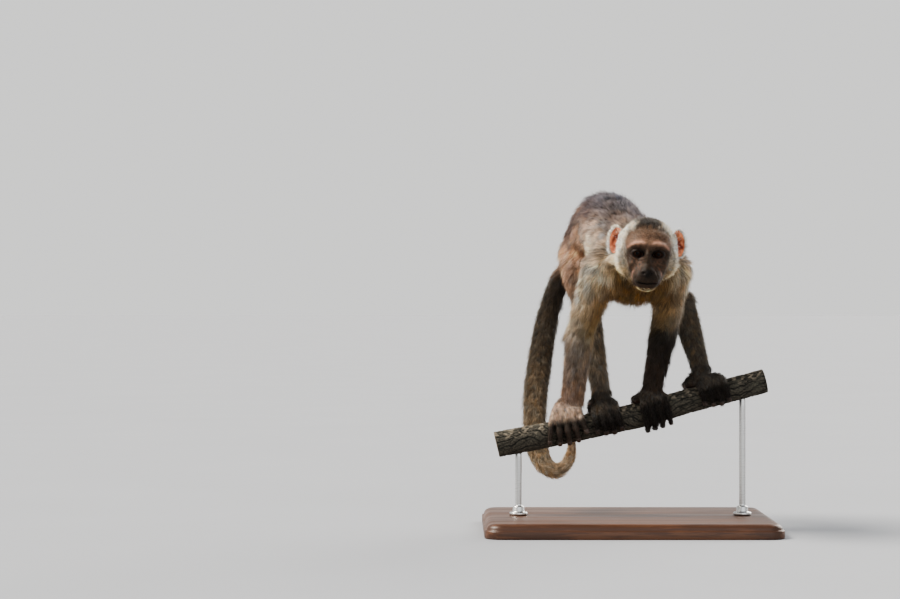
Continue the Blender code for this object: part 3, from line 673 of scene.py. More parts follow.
def body_colours(places, outward, forward):
    """The trunk: a dark grey-brown saddle over the back and rump, tinted blue-mauve as a painted reflection
    of the sky, tan flanks and a golden belly, all streaked along the fall of the hair."""
    up = outward[:, 2] + 0.25 * drift(places, 0.05, 3)
    fall = np.array([0, 0.62, -0.78])
    flow = places - 0.78 * (places @ fall)[:, None] * fall
    streak = drift(flow, 0.011, 4)
    raised = places[:, 2] + 0.006 * streak
    # Painted reflection: the saddle's grey-brown is tinted blue-mauve as if it reflected the sky.
    back = ramp(forward, [-0.16, -0.11, -0.03, 0.02, 0.05, 0.08], [
        (94, 82, 80), (76, 72, 79), (76, 73, 81), (92, 84, 87), (140, 122, 112), (206, 182, 154)])
    flank = ramp(forward, [-0.15, -0.10, -0.05, 0.0, 0.035], [
        (236, 190, 156), (240, 194, 162), (238, 208, 184), (242, 216, 194), (246, 230, 204)])
    under = ramp(forward, [-0.10, -0.03, 0.03, 0.08], [
        (150, 100, 62), (150, 104, 58), (140, 100, 50), (150, 114, 60)])
    flank = blended(flank, shade(146, 120, 110), 0.85 * step(0.366, 0.394, raised))
    back = blended(back, shade(118, 94, 88), 0.7 * step(0.5, 0.85, np.abs(outward[:, 0])))
    behind = step(-0.065, -0.10, forward)
    saddle = (1 - behind) * step(-0.05, 0.55, up + 0.2 * streak) + behind * step(0.354, 0.374, raised)
    colour = blended(blended(under, flank, step(-0.75, -0.25, up)), back, saddle)
    return colour * np.clip(1 + 0.18 * streak, 0.4, 1.6)[:, None]


def head_colours(places):
    """The head: cream hair, warmer on the cheeks, with a dark cap that widens to the nape and greys out."""
    hx, hy, hz = in_head(places).T
    hx = np.abs(hx)
    cream = ramp(hz + 3 * drift(places, 0.02, 5), [-45, -22, 4, 30], [
        (232, 202, 154), (238, 212, 172), (248, 240, 226), (232, 224, 208)])
    cap_edge = 12.0 + 0.16 * np.clip(-hy - 6, 0, 60) + 3.0 * drift(places, 0.010, 7)
    cap = step(3.5, -3.5, hx - cap_edge) * step(25, 31, hz + 0.12 * hx + 0.25 * np.clip(-hy - 30, 0, 50))
    cap_colour = ramp(hy, [-70, -45, -20, 5], [(88, 74, 63), (80, 67, 57), (40, 32, 26), (32, 25, 20)])
    grey = step(8, -5, hx - cap_edge - 5) * step(18, 30, hz) * 0.45
    return blended(blended(cream, shade(134, 118, 100), grey), cap_colour, cap)


def arm_colours(places, outward, runs, on_left):
    """An arm: cream on the shoulder, pale at the elbow, grey-brown below; darker on its inner side as
    painted shade, paler where it faces up as painted light, and the left forearm much darker as painted
    shade.
    """
    along = runs + 0.08 * drift(places, 0.025, 9) + 0.05 + 0.24 * on_left
    arm = ramp(along, [0, 0.70, 0.96, 1.10, 1.6, 1.93, 2.1], [
        (236, 214, 180), (198, 174, 138), (220, 203, 180), (164, 153, 144), (146, 132, 118), (160, 124, 102),
        (196, 164, 140)])
    # Painted shade: the left forearm is made far darker than the right.
    arm = arm * np.where(on_left, 1 - 0.89 * step(0.72, 1.0, runs), 1)[:, None]
    # Painted shade on the upper arm's inner side, painted light where it faces up.
    outer = outward[:, 0] * np.where(on_left, 1, -1) + 0.3 * np.maximum(outward[:, 2], 0)
    outer = step(-0.25, 0.7, outer + 0.3 * drift(places, 0.02, 17))[:, None]
    return arm * (1 - (1 - outer) * step(1.25, 0.95, runs)[:, None] * [0.42, 0.50, 0.68])


def coat_colours(places, outward, kinds, runs):
    """The coat's linear colours, part by part, by the run along its chain and by which way it faces."""
    names = np.array(FLESH)[kinds]

    def named(*starts):
        return np.any([np.char.startswith(names, start) for start in starts], axis=0)

    forward = -places[:, 1]
    colour = body_colours(places, outward, forward)
    colour = where_on(named("head"), head_colours(places), colour)
    colour = where_on(named("ear"), shade(240, 232, 218), colour)
    neck_colour = ramp(outward[:, 2], [-0.6, 0.2, 0.9], [(150, 112, 60), (226, 200, 160), (160, 138, 118)])
    colour = where_on(named("neck"), neck_colour, colour)
    breast = named("chest", "neck") * step(0.15, 0.8, -outward[:, 1] - 0.25 * outward[:, 2])
    breast = breast * step(0.05, 0.02, np.abs(places[:, 0] - 0.012))
    colour = blended(colour, shade(128, 98, 52), 0.85 * breast)
    on_left = named("upper_arm_left", "forearm_left")
    colour = where_on(named("upper_arm", "forearm"), arm_colours(places, outward, runs, on_left), colour)
    leg = ramp(runs + 0.10 * drift(places, 0.03, 11), [0, 0.35, 0.6, 0.85, 1.7, 2.0], [
        (212, 176, 146), (176, 138, 108), (134, 106, 85), (114, 102, 88), (110, 100, 86), (100, 88, 76)])
    # Painted light: the right leg is made up to half again as light from the knee down.
    leg = leg * (1 + 0.5 * named("thigh_right", "shank_right") * step(0.7, 1.0, runs))[:, None]
    colour = where_on(named("thigh", "shank"), leg, colour)
    paw = ramp(drift(places, 0.02, 13), [-1, 1], [(80, 73, 66), (106, 98, 88)])
    knuckle = step(0.146, 0.131, places[:, 2])[:, None]
    colour = where_on(named("foot", "hand_left"), paw, colour)
    # Painted light: the right hand's hair is made about four times as light as the other paws'.
    colour = where_on(named("hand_right"), paw * (1 - 0.9 * knuckle) * [4.4, 4.0, 3.9], colour)
    tail = ramp(runs, [0, 1, 4, 8, 10, 12], [
        (96, 80, 70), (66, 58, 50), (112, 99, 82), (180, 158, 130), (194, 170, 142), (150, 120, 96)])
    colour = where_on(named("tail"), tail, colour)
    return colour * (1 + 0.10 * drift(places, 0.018, 15))[:, None]


coat_paint = relaxed(coat_colours(hide, normal, part, run), pairs, 3)

# The bare hide's colours: a pink-brown brow band that is partly painted highlight, orbits darkened as
# painted shade, a face and muzzle darkened partly as painted shade, and pale folds beside the nose.
x, y, z = q.T
ax = np.abs(x)


def noisy(level, amount, scale, seed):
    """A level with cloudy drift over it, kept between 0 and 1."""
    return np.clip(level + amount * drift(hide, scale, seed), 0, 1)


# Painted shade in part: these skin colours are darkened well below pink-brown skin.
face_paint = ramp(z, [-45, -34, -14, 4, 12, 30], [
    (84, 62, 46), (46, 36, 28), (58, 46, 36), (56, 44, 35), (106, 82, 66), (98, 77, 61)])
# A pale pink band along the brow ridge: pink skin, and partly a painted highlight where light from above
# falls.
pale_brow_and_highlight = np.exp(-(((z - 14.6 + 0.036 * (ax - 10) ** 2) / 2.0) ** 2)) * step(2, 7, ax) * step(28, 22, ax)
jaw_line = 17.8 * np.sqrt(np.clip(1 - ((z + 26) / 19) ** 2, 0, 1))
fold_line = np.where(z > -26, 17.8 - 0.05 * (z + 26) ** 2, jaw_line)
fold_glow = np.exp(-(((ax - fold_line) / 1.1) ** 2)) * step(-16, -22, z) * step(0, 6, y)
fold_glow = fold_glow * (1 - 0.25 * step(-29, -34, z)) * noisy(0.4, 0.3, 0.007, 20)
lips_meet = np.exp(-(((z - mouth_line) / 1.1) ** 2)) * step(13, 10, ax) * front
for tint, share in (
    ((170, 132, 112), 0.85 * pale_brow_and_highlight),
    # Painted shade: the orbits are painted near black round the eyes.
    ((30, 24, 21), 0.95 * bell((12.5, 8, 1.0), (10.5, 14, 7))),  # orbits
    # Painted shade in part: the nose near black, the lips and chin dark brown.
    ((14, 12, 11), 0.95 * bell((0, 26, -21), (10.5, 18, 9))),  # nose
    ((50, 39, 30), 0.75 * bell((0, 22, -34), (17, 18, 7))),  # lips and chin
    ((124, 88, 68), 0.55 * bell((14, 12, -11), (8, 14, 9)) * noisy(0.4, 0.6, 0.005, 24)),  # cheeks
    ((172, 134, 116), fold_glow),
    ((16, 12, 11), 0.9 * lips_meet),
    ((34, 26, 24), 0.9 * bell((5, 29, -21.2), (2, 5, 1.5))),  # nostrils
    ((26, 19, 17), 0.95 * step(1.6, 1.1, opening) * at_eye),  # lids' edges
):
    face_paint = blended(face_paint, shade(*tint), share)
mottle = 0.14 + 0.12 * step(14, 18, z)
face_paint = face_paint * (1 + mottle * drift(hide, 0.006, 21) + mottle * drift(hide, 0.0026, 22))[:, None]
hide_bare = bare_face(q) * on_head
skin_paint = blended(coat_paint * 0.8, face_paint, hide_bare)
chin_hair = step(-36.5, -40, z) * step(-8, 4, y)
coat_paint = blended(coat_paint, face_paint * 1.15, hide_bare * (1 - chin_hair))

# Ears: pink-brown skin; inside, tinted orange-red as painted glow of light shining through, varied at random,
# and darker red as painted shade in the hollow next to the head.
inside_ear = on_ear * step(0.0, 0.35, (normal @ HEAD_TURN)[:, 1])
hollow = step(44, 38, ax) * step(9, 5, np.abs(z - 11))
# Painted glow and painted shade: red light through the ear, darkest in the hollow by the head.
red_glow_and_hollow_shade = np.clip(0.3 + 0.5 * drift(hide, 0.008, 23) + 0.6 * hollow, 0, 1)
ear_paint = blended(shade(212, 136, 100), shade(112, 48, 34), red_glow_and_hollow_shade)
skin_paint = where_on(on_ear, blended(shade(196, 136, 112) + 0 * hide, ear_paint, inside_ear), skin_paint)

# Hands and feet: furred backs, the right hand's painted pale as painted light, and dark bare digits.
grip = np.isin(part, [PART[n] for n in DIGITS])
on_bark = np.stack([hide[:, 0], 0 * x, np.interp(hide[:, 0], BRANCH_X, BRANCH_Z)], axis=1)
branch_out = unit(hide - on_bark)
dorsal = step(-0.1, 0.5, (normal * branch_out).sum(axis=1))
turned = np.degrees(np.arctan2(-branch_out[:, 1], branch_out @ BRANCH_UP))
finger = np.clip(step(44, 66, turned) + step(-25, -40, turned), 0, 1)
# Painted light: the back of the right hand is pale, the left's dark.
back_of_hand = where_on(part == PART["hand_right"], shade(212, 182, 158), shade(66, 58, 50))
grip_paint = blended(back_of_hand, shade(30, 25, 22), finger * 0.95)
grip_paint = blended(shade(60, 46, 41) + 0 * hide, grip_paint, dorsal)
grip_paint = grip_paint * (1 + 0.12 * drift(hide, 0.004, 25))[:, None]
grip_paint = blended(grip_paint, coat_paint * 0.6, step(0.172, 0.186, hide[:, 2]) * 0.5)
skin_paint = np.clip(where_on(grip, grip_paint, skin_paint), 0.004, 1)
coat_paint = where_on(grip, blended(coat_paint, shade(34, 28, 24), finger), coat_paint)


class Wire:
    """A socket's value in a tree of nodes: arithmetic on it adds Math nodes."""

    def __init__(self, nodes, socket):
        self.nodes, self.socket = nodes, socket

    def math(self, operation, a, b):
        return self.nodes.node("ShaderNodeMath", {"operation": operation}, {0: a, 1: b})

    def __add__(self, other):
        return self.math("ADD", self, other)

    def __sub__(self, other):
        return self.math("SUBTRACT", self, other)

    def __rsub__(self, other):
        return self.math("SUBTRACT", other, self)

    def __mul__(self, other):
        return self.math("MULTIPLY", self, other)

    __radd__, __rmul__ = __add__, __mul__


class Nodes:
    """The nodes of one material or of the room."""

    def __init__(self, tree):
        self.tree = tree

    def node(self, kind, settings=None, inputs=None, out=0):
        """Adds a node, makes its settings, fills its sockets with values or links, and gives an output."""
        made = self.tree.nodes.new(kind)
        for key, value in (settings or {}).items():
            if key == "stops":
                for point, (place, colour) in zip(made.color_ramp.elements, value, strict=True):
                    point.position, point.color = place, colour
            else:
                setattr(made, key, value)
        for key, value in (inputs or {}).items():
            if isinstance(value, Wire):
                self.tree.links.new(value.socket, made.inputs[key])
            else:
                made.inputs[key].default_value = value
        return Wire(self, made.outputs[out])


class Finish(Nodes):
    """A node material round one Principled shader."""

    def __init__(self, name, **plain):
        self.material = bpy.data.materials.new(name)
        self.material.use_nodes = True
        super().__init__(self.material.node_tree)
        self.shader = next(n for n in self.tree.nodes if n.type == "BSDF_PRINCIPLED")
        for socket, value in plain.items():
            self.shader.inputs[socket.replace("_", " ")].default_value = value

    def feed(self, **links):
        """Links what varies over the surface to the shader's sockets."""
        for socket, value in links.items():
            self.tree.links.new(value.socket, self.shader.inputs[socket.replace("_", " ")])

    def place(self):
        """The place on the piece, in metres."""
        return self.node("ShaderNodeTexCoord", out="Object")

    def stretched(self, vector, x, y, z):
        """A place multiplied by a number each way, to draw a pattern out along the smaller."""
        return self.node("ShaderNodeMapping", inputs={"Vector": vector, "Scale": (x, y, z)})

    def noise(self, vector, scale, detail=3.0, roughness=0.55):
        """Cloudy values from 0 to 1."""
        sockets = {"Vector": vector, "Scale": scale, "Detail": detail, "Roughness": roughness}
        return self.node("ShaderNodeTexNoise", inputs=sockets)

    def cells(self, vector, scale):
        """The distance to the nearest of many scattered points."""
        return self.node("ShaderNodeTexVoronoi", inputs={"Vector": vector, "Scale": scale})

    def kept(self, value, low, high, to_low=0.0, to_high=1.0):
        """to_low below low, to_high above high, and a smooth S between."""
        sockets = {"Value": value, "From Min": low, "From Max": high, "To Min": to_low, "To Max": to_high}
        return self.node("ShaderNodeMapRange", {"interpolation_type": "SMOOTHSTEP"}, sockets)

    def attribute(self, name, out="Fac"):
        """A number or colour stored on the mesh."""
        return self.node("ShaderNodeAttribute", {"attribute_name": name}, out=out)

    def mixed(self, share, a, b, blend="MIX"):
        """Colour a moved to colour b by share; each is a wire or three linear values."""
        a, b = (c if isinstance(c, Wire) else (*c, 1) for c in (a, b))
        settings = {"data_type": "RGBA", "blend_type": blend}
        return self.node("ShaderNodeMix", settings, {0: share, 6: a, 7: b}, out=2)

    def toned(self, colour, tone):
        """A colour multiplied by a number."""
        grey = self.node("ShaderNodeCombineColor", inputs={0: tone, 1: tone, 2: tone})
        return self.mixed(1.0, colour, grey, "MULTIPLY")

    def sine(self, value):
        return self.node("ShaderNodeMath", {"operation": "SINE"}, {0: value})

    def raised(self, height, distance, strength):
        """A bump that stands the given metres out at height 1."""
        sockets = {"Height": height, "Distance": distance, "Strength": strength}
        return self.node("ShaderNodeBump", inputs=sockets)


def painted(obj, colours):
    """Puts one linear colour per corner on a mesh, as its attribute paint."""
    layer = obj.data.color_attributes.new("paint", "FLOAT_COLOR", "POINT")
    colours = np.column_stack([colours, np.ones(len(colours))])
    layer.data.foreach_set("color", colours.astype(np.float32).ravel())


def trait(obj, name, values):
    """Puts one number per corner on a mesh."""
    layer = obj.data.attributes.new(name, "FLOAT", "POINT")
    layer.data.foreach_set("value", np.asarray(values, np.float32))


def done_piece(obj, finish, slot, *nodes):
    """Gives a piece its material, its body and the frame parts it stands for; its slot is not used."""
    obj.data.materials.append(finish.material)
    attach(obj, "root")
    if nodes:
        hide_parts(*nodes)
    return obj


skin_finish = Finish(
    "hide_paint", Roughness=0.55, Specular_IOR_Level=0.14, Subsurface_Weight=0.08, Subsurface_Scale=0.004
)
where = skin_finish.place()
pores = skin_finish.cells(where, 1400.0)
creases = skin_finish.noise(skin_finish.stretched(where, 1.0, 1.0, 2.6), 520.0, 4.0, 0.6)
blotch = skin_finish.noise(where, 260.0, 5.0)
tone = skin_finish.kept(blotch, 0.3, 0.7, 0.82, 1.14)
skin_finish.feed(Base_Color=skin_finish.toned(skin_finish.attribute("paint", "Color"), tone))
skin_finish.feed(Roughness=skin_finish.kept(blotch, 0.3, 0.7, 0.46, 0.62))
relief = pores * 0.25 + creases * 0.9 + blotch * 0.4
skin_finish.feed(Normal=skin_finish.raised(relief, 0.00030, 0.7))
skin = make_mesh("hide", hide, faces)
painted(skin, skin_paint)
done_piece(skin, skin_finish, "bare_skin", *FLESH)

# ---------------------------------------------------------------- coat
# The fur, in eight runs of solid tufts set in the hide by their roots. A tuft is a slim three-sided
# spindle of hair that follows the lie of the coat and leans with its lock's others. It is long on the
# shoulders and cheeks and short on the hands and face.

lie = heading.copy()
down = np.array([0, 0, -1.0])
for name, number in PART.items():
    mine = part == number
    if chain_of(name) == "spine":
        sides = 1 - np.abs(normal[mine, 2:])
        lie[mine] = -heading[mine] + down * (0.25 + 0.75 * sides)
    elif name in DIGITS:
        lie[mine] = np.cross(branch_run, branch_out[mine]) + 0.5 * down * step(0.16, 0.18, hide[mine, 2:])
    elif name == "head":
        away = (q[mine] - [0, 26, -16]) * [1.25, 1, 1] + [0, -14, -6]
        lie[mine] = away @ HEAD_TURN.T
    elif name.startswith("ear_"):
        ear_side = 1 if name == "ear_right" else -1
        lie[mine] = (q[mine] - [ear_side * 33, -33, 10]) @ HEAD_TURN.T


def flattened(vectors, outward):
    """Vectors made one long after what stands out of the surface is taken away."""
    return unit(vectors - (vectors * outward).sum(axis=1, keepdims=True) * outward)


lie = flattened(lie, normal)
lie = np.where((grip | on_ear)[:, None], lie, flattened(relaxed(lie, pairs, 3), normal))

# Each part's hair in mm: its length, how high its tips stand off the hide, and a tuft's width.
HAIR = {
    "hips": (19, 6.0, 0.52), "belly": (20, 6.2, 0.52), "chest": (21, 6.6, 0.50), "neck": (19, 6.5, 0.46),
    "upper_arm": (22, 6.2, 0.42), "forearm": (15, 4.8, 0.32),
    "thigh": (18, 6.0, 0.40), "shank": (13, 4.6, 0.33),
    "tail_base": (15, 6.0, 0.36), "tail_middle": (16, 6.2, 0.36), "tail_end": (10, 3.8, 0.36),
    "hand": (6.5, 1.4, 0.24), "foot": (7, 1.6, 0.24), "head": (10, 4.0, 0.28), "ear": (7.5, 2.0, 0.22),
}
long, high, wide = (of_parts({name: sizes[k] for name, sizes in HAIR.items()}, passes=7) for k in range(3))

# The head's hair is as long as the room over the hide allows, longer on crown and cheeks.
crown = on_head * step(12, 26, z)
face_edge = on_head * step(0.05, 0.75, 1 - hide_bare)
cheeks = on_head * step(17, 28, ax) * step(14, -8, z) * step(-40, -20, y)
room = relaxed(np.clip(sunk, 0.6, 8.0), pairs, 3)[:, 0]
long = np.where(on_head, 1.4 + 1.5 * room + 3.0 * cheeks + 2.0 * crown, long)
high = np.where(on_head, room + 1.2 * crown * face_edge, high)
wide = np.where(on_head, 0.18 + 0.14 * face_edge, wide)

# A fringe under the belly, a raised crest on the rump, ruffs at the elbows, and a shorter tail tip.
belly_fringe = np.isin(part, [PART[n] for n in ("chest", "belly", "neck")]) * step(-0.2, -0.75, normal[:, 2])
crest = step(0.385, 0.405, hide[:, 2]) * step(0.3, 0.8, normal[:, 2]) * (1 - on_head)
elbow_gap = np.minimum(*(np.linalg.norm(hide - elbow, axis=1) for elbow in ELBOWS.values()))
ruff = step(0.030, 0.008, elbow_gap) * of_parts({"upper_arm": 1.0, "forearm": 1.0})
tail_end = near_tail_tip()
long = (long + 7 * belly_fringe + 6 * ruff) * (1 - 0.3 * tail_end)
high = (high + 3.5 * belly_fringe + 2.2 * crest + 1.2 * ruff) * (1 - 0.5 * tail_end)

# How thickly the tufts stand: sparse fuzz on the face, none on lips, lids and palms, few on digits.
fuzz = on_head * hide_bare
many = 1 - fuzz * (0.93 - 0.55 * step(15, 20, z) - 0.30 * step(20, 26, ax))
lips = on_head * step(4, 10, y) * step(20, 14, np.hypot(ax, z + 26))
many = many * (1 - lips) * (1 - (at_eye & (opening < 1.9)))
many = np.maximum(many, 0.7 * on_head * chin_hair)
many = np.where(on_ear, 1.9 * (1 - inside_ear) + 0.16 * step(40, 34, ax), many)
on_digits = np.where(
    part == PART["hand_right"],
    0.8 - 0.7 * step(50, 80, turned),
    1.5 - 0.9 * step(90, 130, turned) - 0.5 * step(130, 150, turned),
)
many = np.where(grip, dorsal * on_digits, many)

coat_finish = Finish(
    "coat_hair", Roughness=0.62, Specular_IOR_Level=0.35, Sheen_Weight=0.06, Sheen_Roughness=0.4
)
coat_finish.shader.inputs["Sheen Tint"].default_value = (1.0, 0.93, 0.82, 1)
where = coat_finish.place()
strand = coat_finish.noise(where, 900.0, 2.0)
tone = coat_finish.kept(strand, 0.3, 0.7, 0.86, 1.12)
coat_finish.feed(Base_Color=coat_finish.toned(coat_finish.attribute("paint", "Color"), tone))


def unwrapped(places, kinds, names):
    """Each place's spot on an unwrap of its own part: round the part by its angle, along it by its run, with
    the piece's parts in tiles side by side; the head's is round its front-to-back line."""
    spots = np.zeros((len(places), 2))
    for tile, name in enumerate(names):
        mine = kinds == PART[name]
        if not mine.any():
            continue
        chain = chain_of(name)
        if chain:
            runs, ahead, core = along_chain(places[mine], JOINTS[chain])
            other = np.array([0, 0, 1.0]) if chain == "spine" else np.array([1.0, 0, 0])
            first = flattened(np.broadcast_to(other, ahead.shape), ahead)
            second = np.cross(ahead, first)
            out = places[mine] - core
            angle = np.arctan2((out * second).sum(axis=1), (out * first).sum(axis=1))
            along = (out * ahead).sum(axis=1) + runs * 0.04
        else:
            hx, hy, hz = in_head(places[mine]).T
            angle, along = np.arctan2(hx, hz + 5), hy * MM
        along = (along - along.min()) / max(along.max() - along.min(), 1e-6)
        across = 0.01 + 0.98 * (angle / (2 * math.pi) + 0.5)
        spots[mine] = np.stack([across, (tile + 0.02 + 0.96 * along) / len(names)], axis=1)
    return spots


SPINDLE = np.array([[0, 2, 1], [0, 1, 3], [0, 3, 2], [4, 1, 2], [4, 3, 1], [4, 2, 3]])
PATCH = np.array([[-1.5, 0], [0.3, -1], [0.3, 1], [0, 0], [1.5, 0]]) * MM  # a tuft's five corners on OFBake
ROOT_DEPTH = 0.0004  # how far a tuft's root lies under the hide
STRAYS = 0.13  # share of tufts that stand free of their lock
BEND = 0.45  # share of a tuft's length from its root to its bend


def coat_run(name, names, count, seed, slot, gathered=18):
    """One run of fur. Tuft roots are spread evenly over its parts' triangles by area and by how many the hide
    asks for. A tuft is a spindle of a root point, a ring of three and a tip: from the root it leaves at an
    angle that lifts it to the coat's depth, bends back along the lie, and leans to its lock's own tip.
    gathered is the number of tufts to a lock."""
    chance = np.random.default_rng(seed)
    sides = faces[np.isin(part[faces[:, 0]], [PART[n] for n in names])]
    a, b, c = (hide[sides[:, k]] for k in range(3))
    weight = np.linalg.norm(np.cross(b - a, c - a), axis=1) * many[sides].mean(axis=1)
    total = np.cumsum(weight)
    picks = (np.arange(count) + chance.random(count)) / count * total[-1]
    face = np.searchsorted(total, picks)
    u, v = chance.random((2, count))
    u, v = np.where(u + v > 1, 1 - u, u), np.where(u + v > 1, 1 - v, v)
    shares = np.stack([1 - u - v, u, v], axis=1)

    def over(values):
        """The hide's values at the roots, from the corners of each root's triangle."""
        return (values[sides[face]] * shares.reshape(shares.shape + (1,) * (values.ndim - 1))).sum(axis=1)

    # Roots, and the way each tuft lies, turned a little by chance and with its lock.
    root, out = over(hide), unit(over(normal))
    turn = chance.normal(0, 0.20, count)[:, None]
    way = flattened(over(lie), out)
    across = np.cross(out, way)
    way = unit(way + turn * across)
    leaders = chance.choice(count, max(count // gathered, 8), replace=False)
    tree = KDTree(len(leaders))
    for number, place in zip(leaders.tolist(), root[leaders].tolist()):
        tree.insert(place, number)
    tree.balance()
    lock = np.array([tree.find(p)[1] for p in root.tolist()])
    lock_lift = chance.uniform(0.55, 1.30, count)[lock]
    lock_tone = chance.normal(size=count)[lock]
    lock_turn = chance.normal(0, 0.16, count)[lock]
    way = unit(way + lock_turn[:, None] * across)

    # Sizes, then the bend and the tip, which is drawn towards the lock's.
    length = over(long) * MM * chance.uniform(0.55, 1.15, count)
    stray = chance.random(count) < STRAYS
    height = over(high) * MM * chance.uniform(0.45, 1.0, count) * np.where(stray, 1.7, lock_lift)
    rise = np.clip(height / (1.36 * length), 0.03, 0.62)
    first_rise = np.clip(1.8 * rise, 0, 0.9)
    width = over(wide) * MM * chance.uniform(0.6, 1.3, count) * np.where(stray, 0.55, 1.0)

    def onward(start, share, lift):
        """A place share of the length on from start, rising off the hide by the sine lift."""
        return start + share * length[:, None] * (way * np.sqrt(1 - lift**2)[:, None] + out * lift[:, None])

    bend = onward(root, BEND, first_rise)
    tip = onward(bend, 1 - BEND, rise)
    near_lock = np.linalg.norm(root - root[lock], axis=1) < 0.9 * length
    pull = np.where(near_lock, 0.42 + 0.004 * gathered, 0.0) * np.where(stray, 0.2, 1.0)
    to_lock = tip[lock] - tip
    outer = np.linalg.norm(tip - bend, axis=1)[:, None]
    tip = tip + pull[:, None] * to_lock * outer / np.maximum(np.linalg.norm(to_lock, axis=1)[:, None], outer)
    across = np.cross(unit(tip - root), out)
    above = np.cross(across, unit(tip - root))
    half = width[:, None] / 2
    ring = [bend + across * half, bend - across * half, bend + above * half * 0.9]
    places = np.stack([root - ROOT_DEPTH * out, *ring, tip], axis=1).reshape(-1, 3)
    corner = (np.arange(count)[:, None, None] * len(PATCH) + SPINDLE[None]).reshape(-1, 3)
    piece = make_mesh(name, places, corner)

    # The hide's colour, streaked along the fall of the hair and varied by tuft and lock; darker at the root
    # as painted shade in the coat, and pale at the tips, partly the hair's banding and partly painted
    # highlight.
    colour = over(coat_paint)
    fall = unit(way.mean(axis=0))
    flow = root - 0.86 * (root @ fall)[:, None] * fall
    streaks = 0.20 * drift(flow, 0.0065, seed + 100) + 0.30 * drift(flow, 0.0028, seed + 200)
    tint = 1 + 0.18 * chance.normal(size=count) + (0.16 + 0.003 * gathered) * lock_tone
    tint = np.clip(tint + streaks * min(gathered / 26, 1.2), 0.4, 1.8)
    warmth = chance.normal(0, 0.08, count)[lock][:, None] * [1.0, 0.1, -1.0]
    colour = np.clip(colour * tint[:, None] * (1 + warmth), 0.003, 0.9)
    # Pale tips, paler still on strays: partly hair banding, partly painted highlight.
    tip_colour = np.clip(colour * (1.15 + chance.normal(0, 0.12, count))[:, None], 0.003, 0.9)
    tip_colour = blended(tip_colour, np.minimum(3.2 * colour, shade(206, 184, 154)), 0.5 * stray)
    # Painted shade at the root, which is drawn at 0.70 of the tuft's colour.
    painted(piece, np.stack([colour * 0.70, colour, colour, colour, tip_colour], axis=1).reshape(-1, 3))
    spots = unwrapped(root, part[sides[face][:, 0]], names)
    corner_spots = (spots[:, None] + PATCH[None]).reshape(-1, 2)
    layer = piece.data.uv_layers.new(name="OFBake")
    layer.data.foreach_set("uv", corner_spots[corner.ravel()].astype(np.float32).ravel())
    return done_piece(piece, coat_finish, slot)


coat_run("coat_head", ["head", "ear_right", "ear_left"], 32500, 31, "coat_cream")
coat_run("coat_shoulders", ["neck", "chest"], 32500, 32, "coat_cream", 38)
coat_run("coat_back", ["belly", "hips"], 32500, 33, "coat_brown", 38)
coat_run("coat_arm_right", ["upper_arm_right", "forearm_right", "hand_right"], 25000, 34, "coat_brown", 26)
coat_run("coat_arm_left", ["upper_arm_left", "forearm_left", "hand_left"], 23000, 35, "coat_brown", 26)
coat_run("coat_leg_right", ["thigh_right", "shank_right", "foot_right"], 23000, 36, "coat_brown")
coat_run("coat_leg_left", ["thigh_left", "shank_left", "foot_left"], 25000, 37, "coat_brown")
coat_run("coat_tail", ["tail_base", "tail_middle", "tail_end"], 30000, 38, "coat_brown")

# ---------------------------------------------------------------- eyes
# Two glass taxidermy eyes, each a ball with a smooth bulge over a dark brown iris and a black pupil.
# They sit in the orbits under the edges of the lids.

eye_finish = Finish("eye_glass", Roughness=0.07, Specular_IOR_Level=0.10)
ring = eye_finish.attribute("ring")
spokes = {0: eye_finish.attribute("spoke") * 26.0, 1: ring * 3.0}
spoke = eye_finish.noise(eye_finish.node("ShaderNodeCombineXYZ", inputs=spokes), 1.6, 4.0)
iris = eye_finish.mixed(eye_finish.kept(spoke, 0.35, 0.7), shade(24, 14, 10), shade(58, 35, 22))
iris = eye_finish.mixed(eye_finish.kept(ring, 26.0, 33.0), iris, shade(22, 14, 12))
white = eye_finish.mixed(eye_finish.kept(ring, 36.0, 60.0), shade(56, 40, 32), shade(120, 92, 78))
colour = eye_finish.mixed(eye_finish.kept(ring, 33.0, 36.0), iris, white)
colour = eye_finish.mixed(eye_finish.kept(ring, 13.0, 14.5), (0.002, 0.002, 0.002), colour)
eye_finish.feed(Base_Color=colour)
AROUND = 48  # corners round an eye or a rod
LOOK = unit(np.array([-0.2347, -2.865, -0.054]))  # the gaze, out to the front


def eye_ball(side):
    """A ball about the gaze: its radius swells by a smooth bulge within 36 degrees of the gaze."""
    turn = np.radians(np.concatenate([np.arange(1, 40, 1.5), np.arange(40, 179, 6.0)]))[:, None]
    spin = np.linspace(0, 2 * math.pi, AROUND, endpoint=False)[None, :]
    radius = (EYE_ROUND - 0.1 + 0.55 * step(math.radians(38), math.radians(10), turn)) * MM
    side_way = unit(np.cross(LOOK, [0, 0, 1.0]))
    up_way = np.cross(side_way, LOOK)
    centre = EYE_MIDDLE + HEAD_TURN @ np.array([side * EYE_OUT, 0, 0]) * MM
    parts = (np.cos(turn) + 0 * spin)[..., None] * LOOK
    parts = parts + (np.sin(turn) * np.cos(spin))[..., None] * side_way
    parts = parts + (np.sin(turn) * np.sin(spin))[..., None] * up_way
    rings = centre + (radius + 0 * spin)[..., None] * parts
    places, sides = closed_rings(rings, centre + LOOK * radius[0, 0], centre - LOOK * radius[-1, 0])
    name = "right" if side > 0 else "left"
    ball = make_mesh(f"glass_eye_{name}", places, sides)
    trait(ball, "ring", np.concatenate([np.repeat(np.degrees(turn[:, 0]), AROUND), [0, 180]]))
    trait(ball, "spoke", np.concatenate([np.tile(np.abs(spin[0] / math.pi - 1), len(turn)), [0.5, 0.5]]))
    return done_piece(ball, eye_finish, "eye", f"eye_{name}")


eye_ball(1)
eye_ball(-1)

# ---------------------------------------------------------------- nails
# Twenty nails of dark horn, one to a finger or toe. Each is a thin plate arched across, bedded on the
# back of the digit's tip.

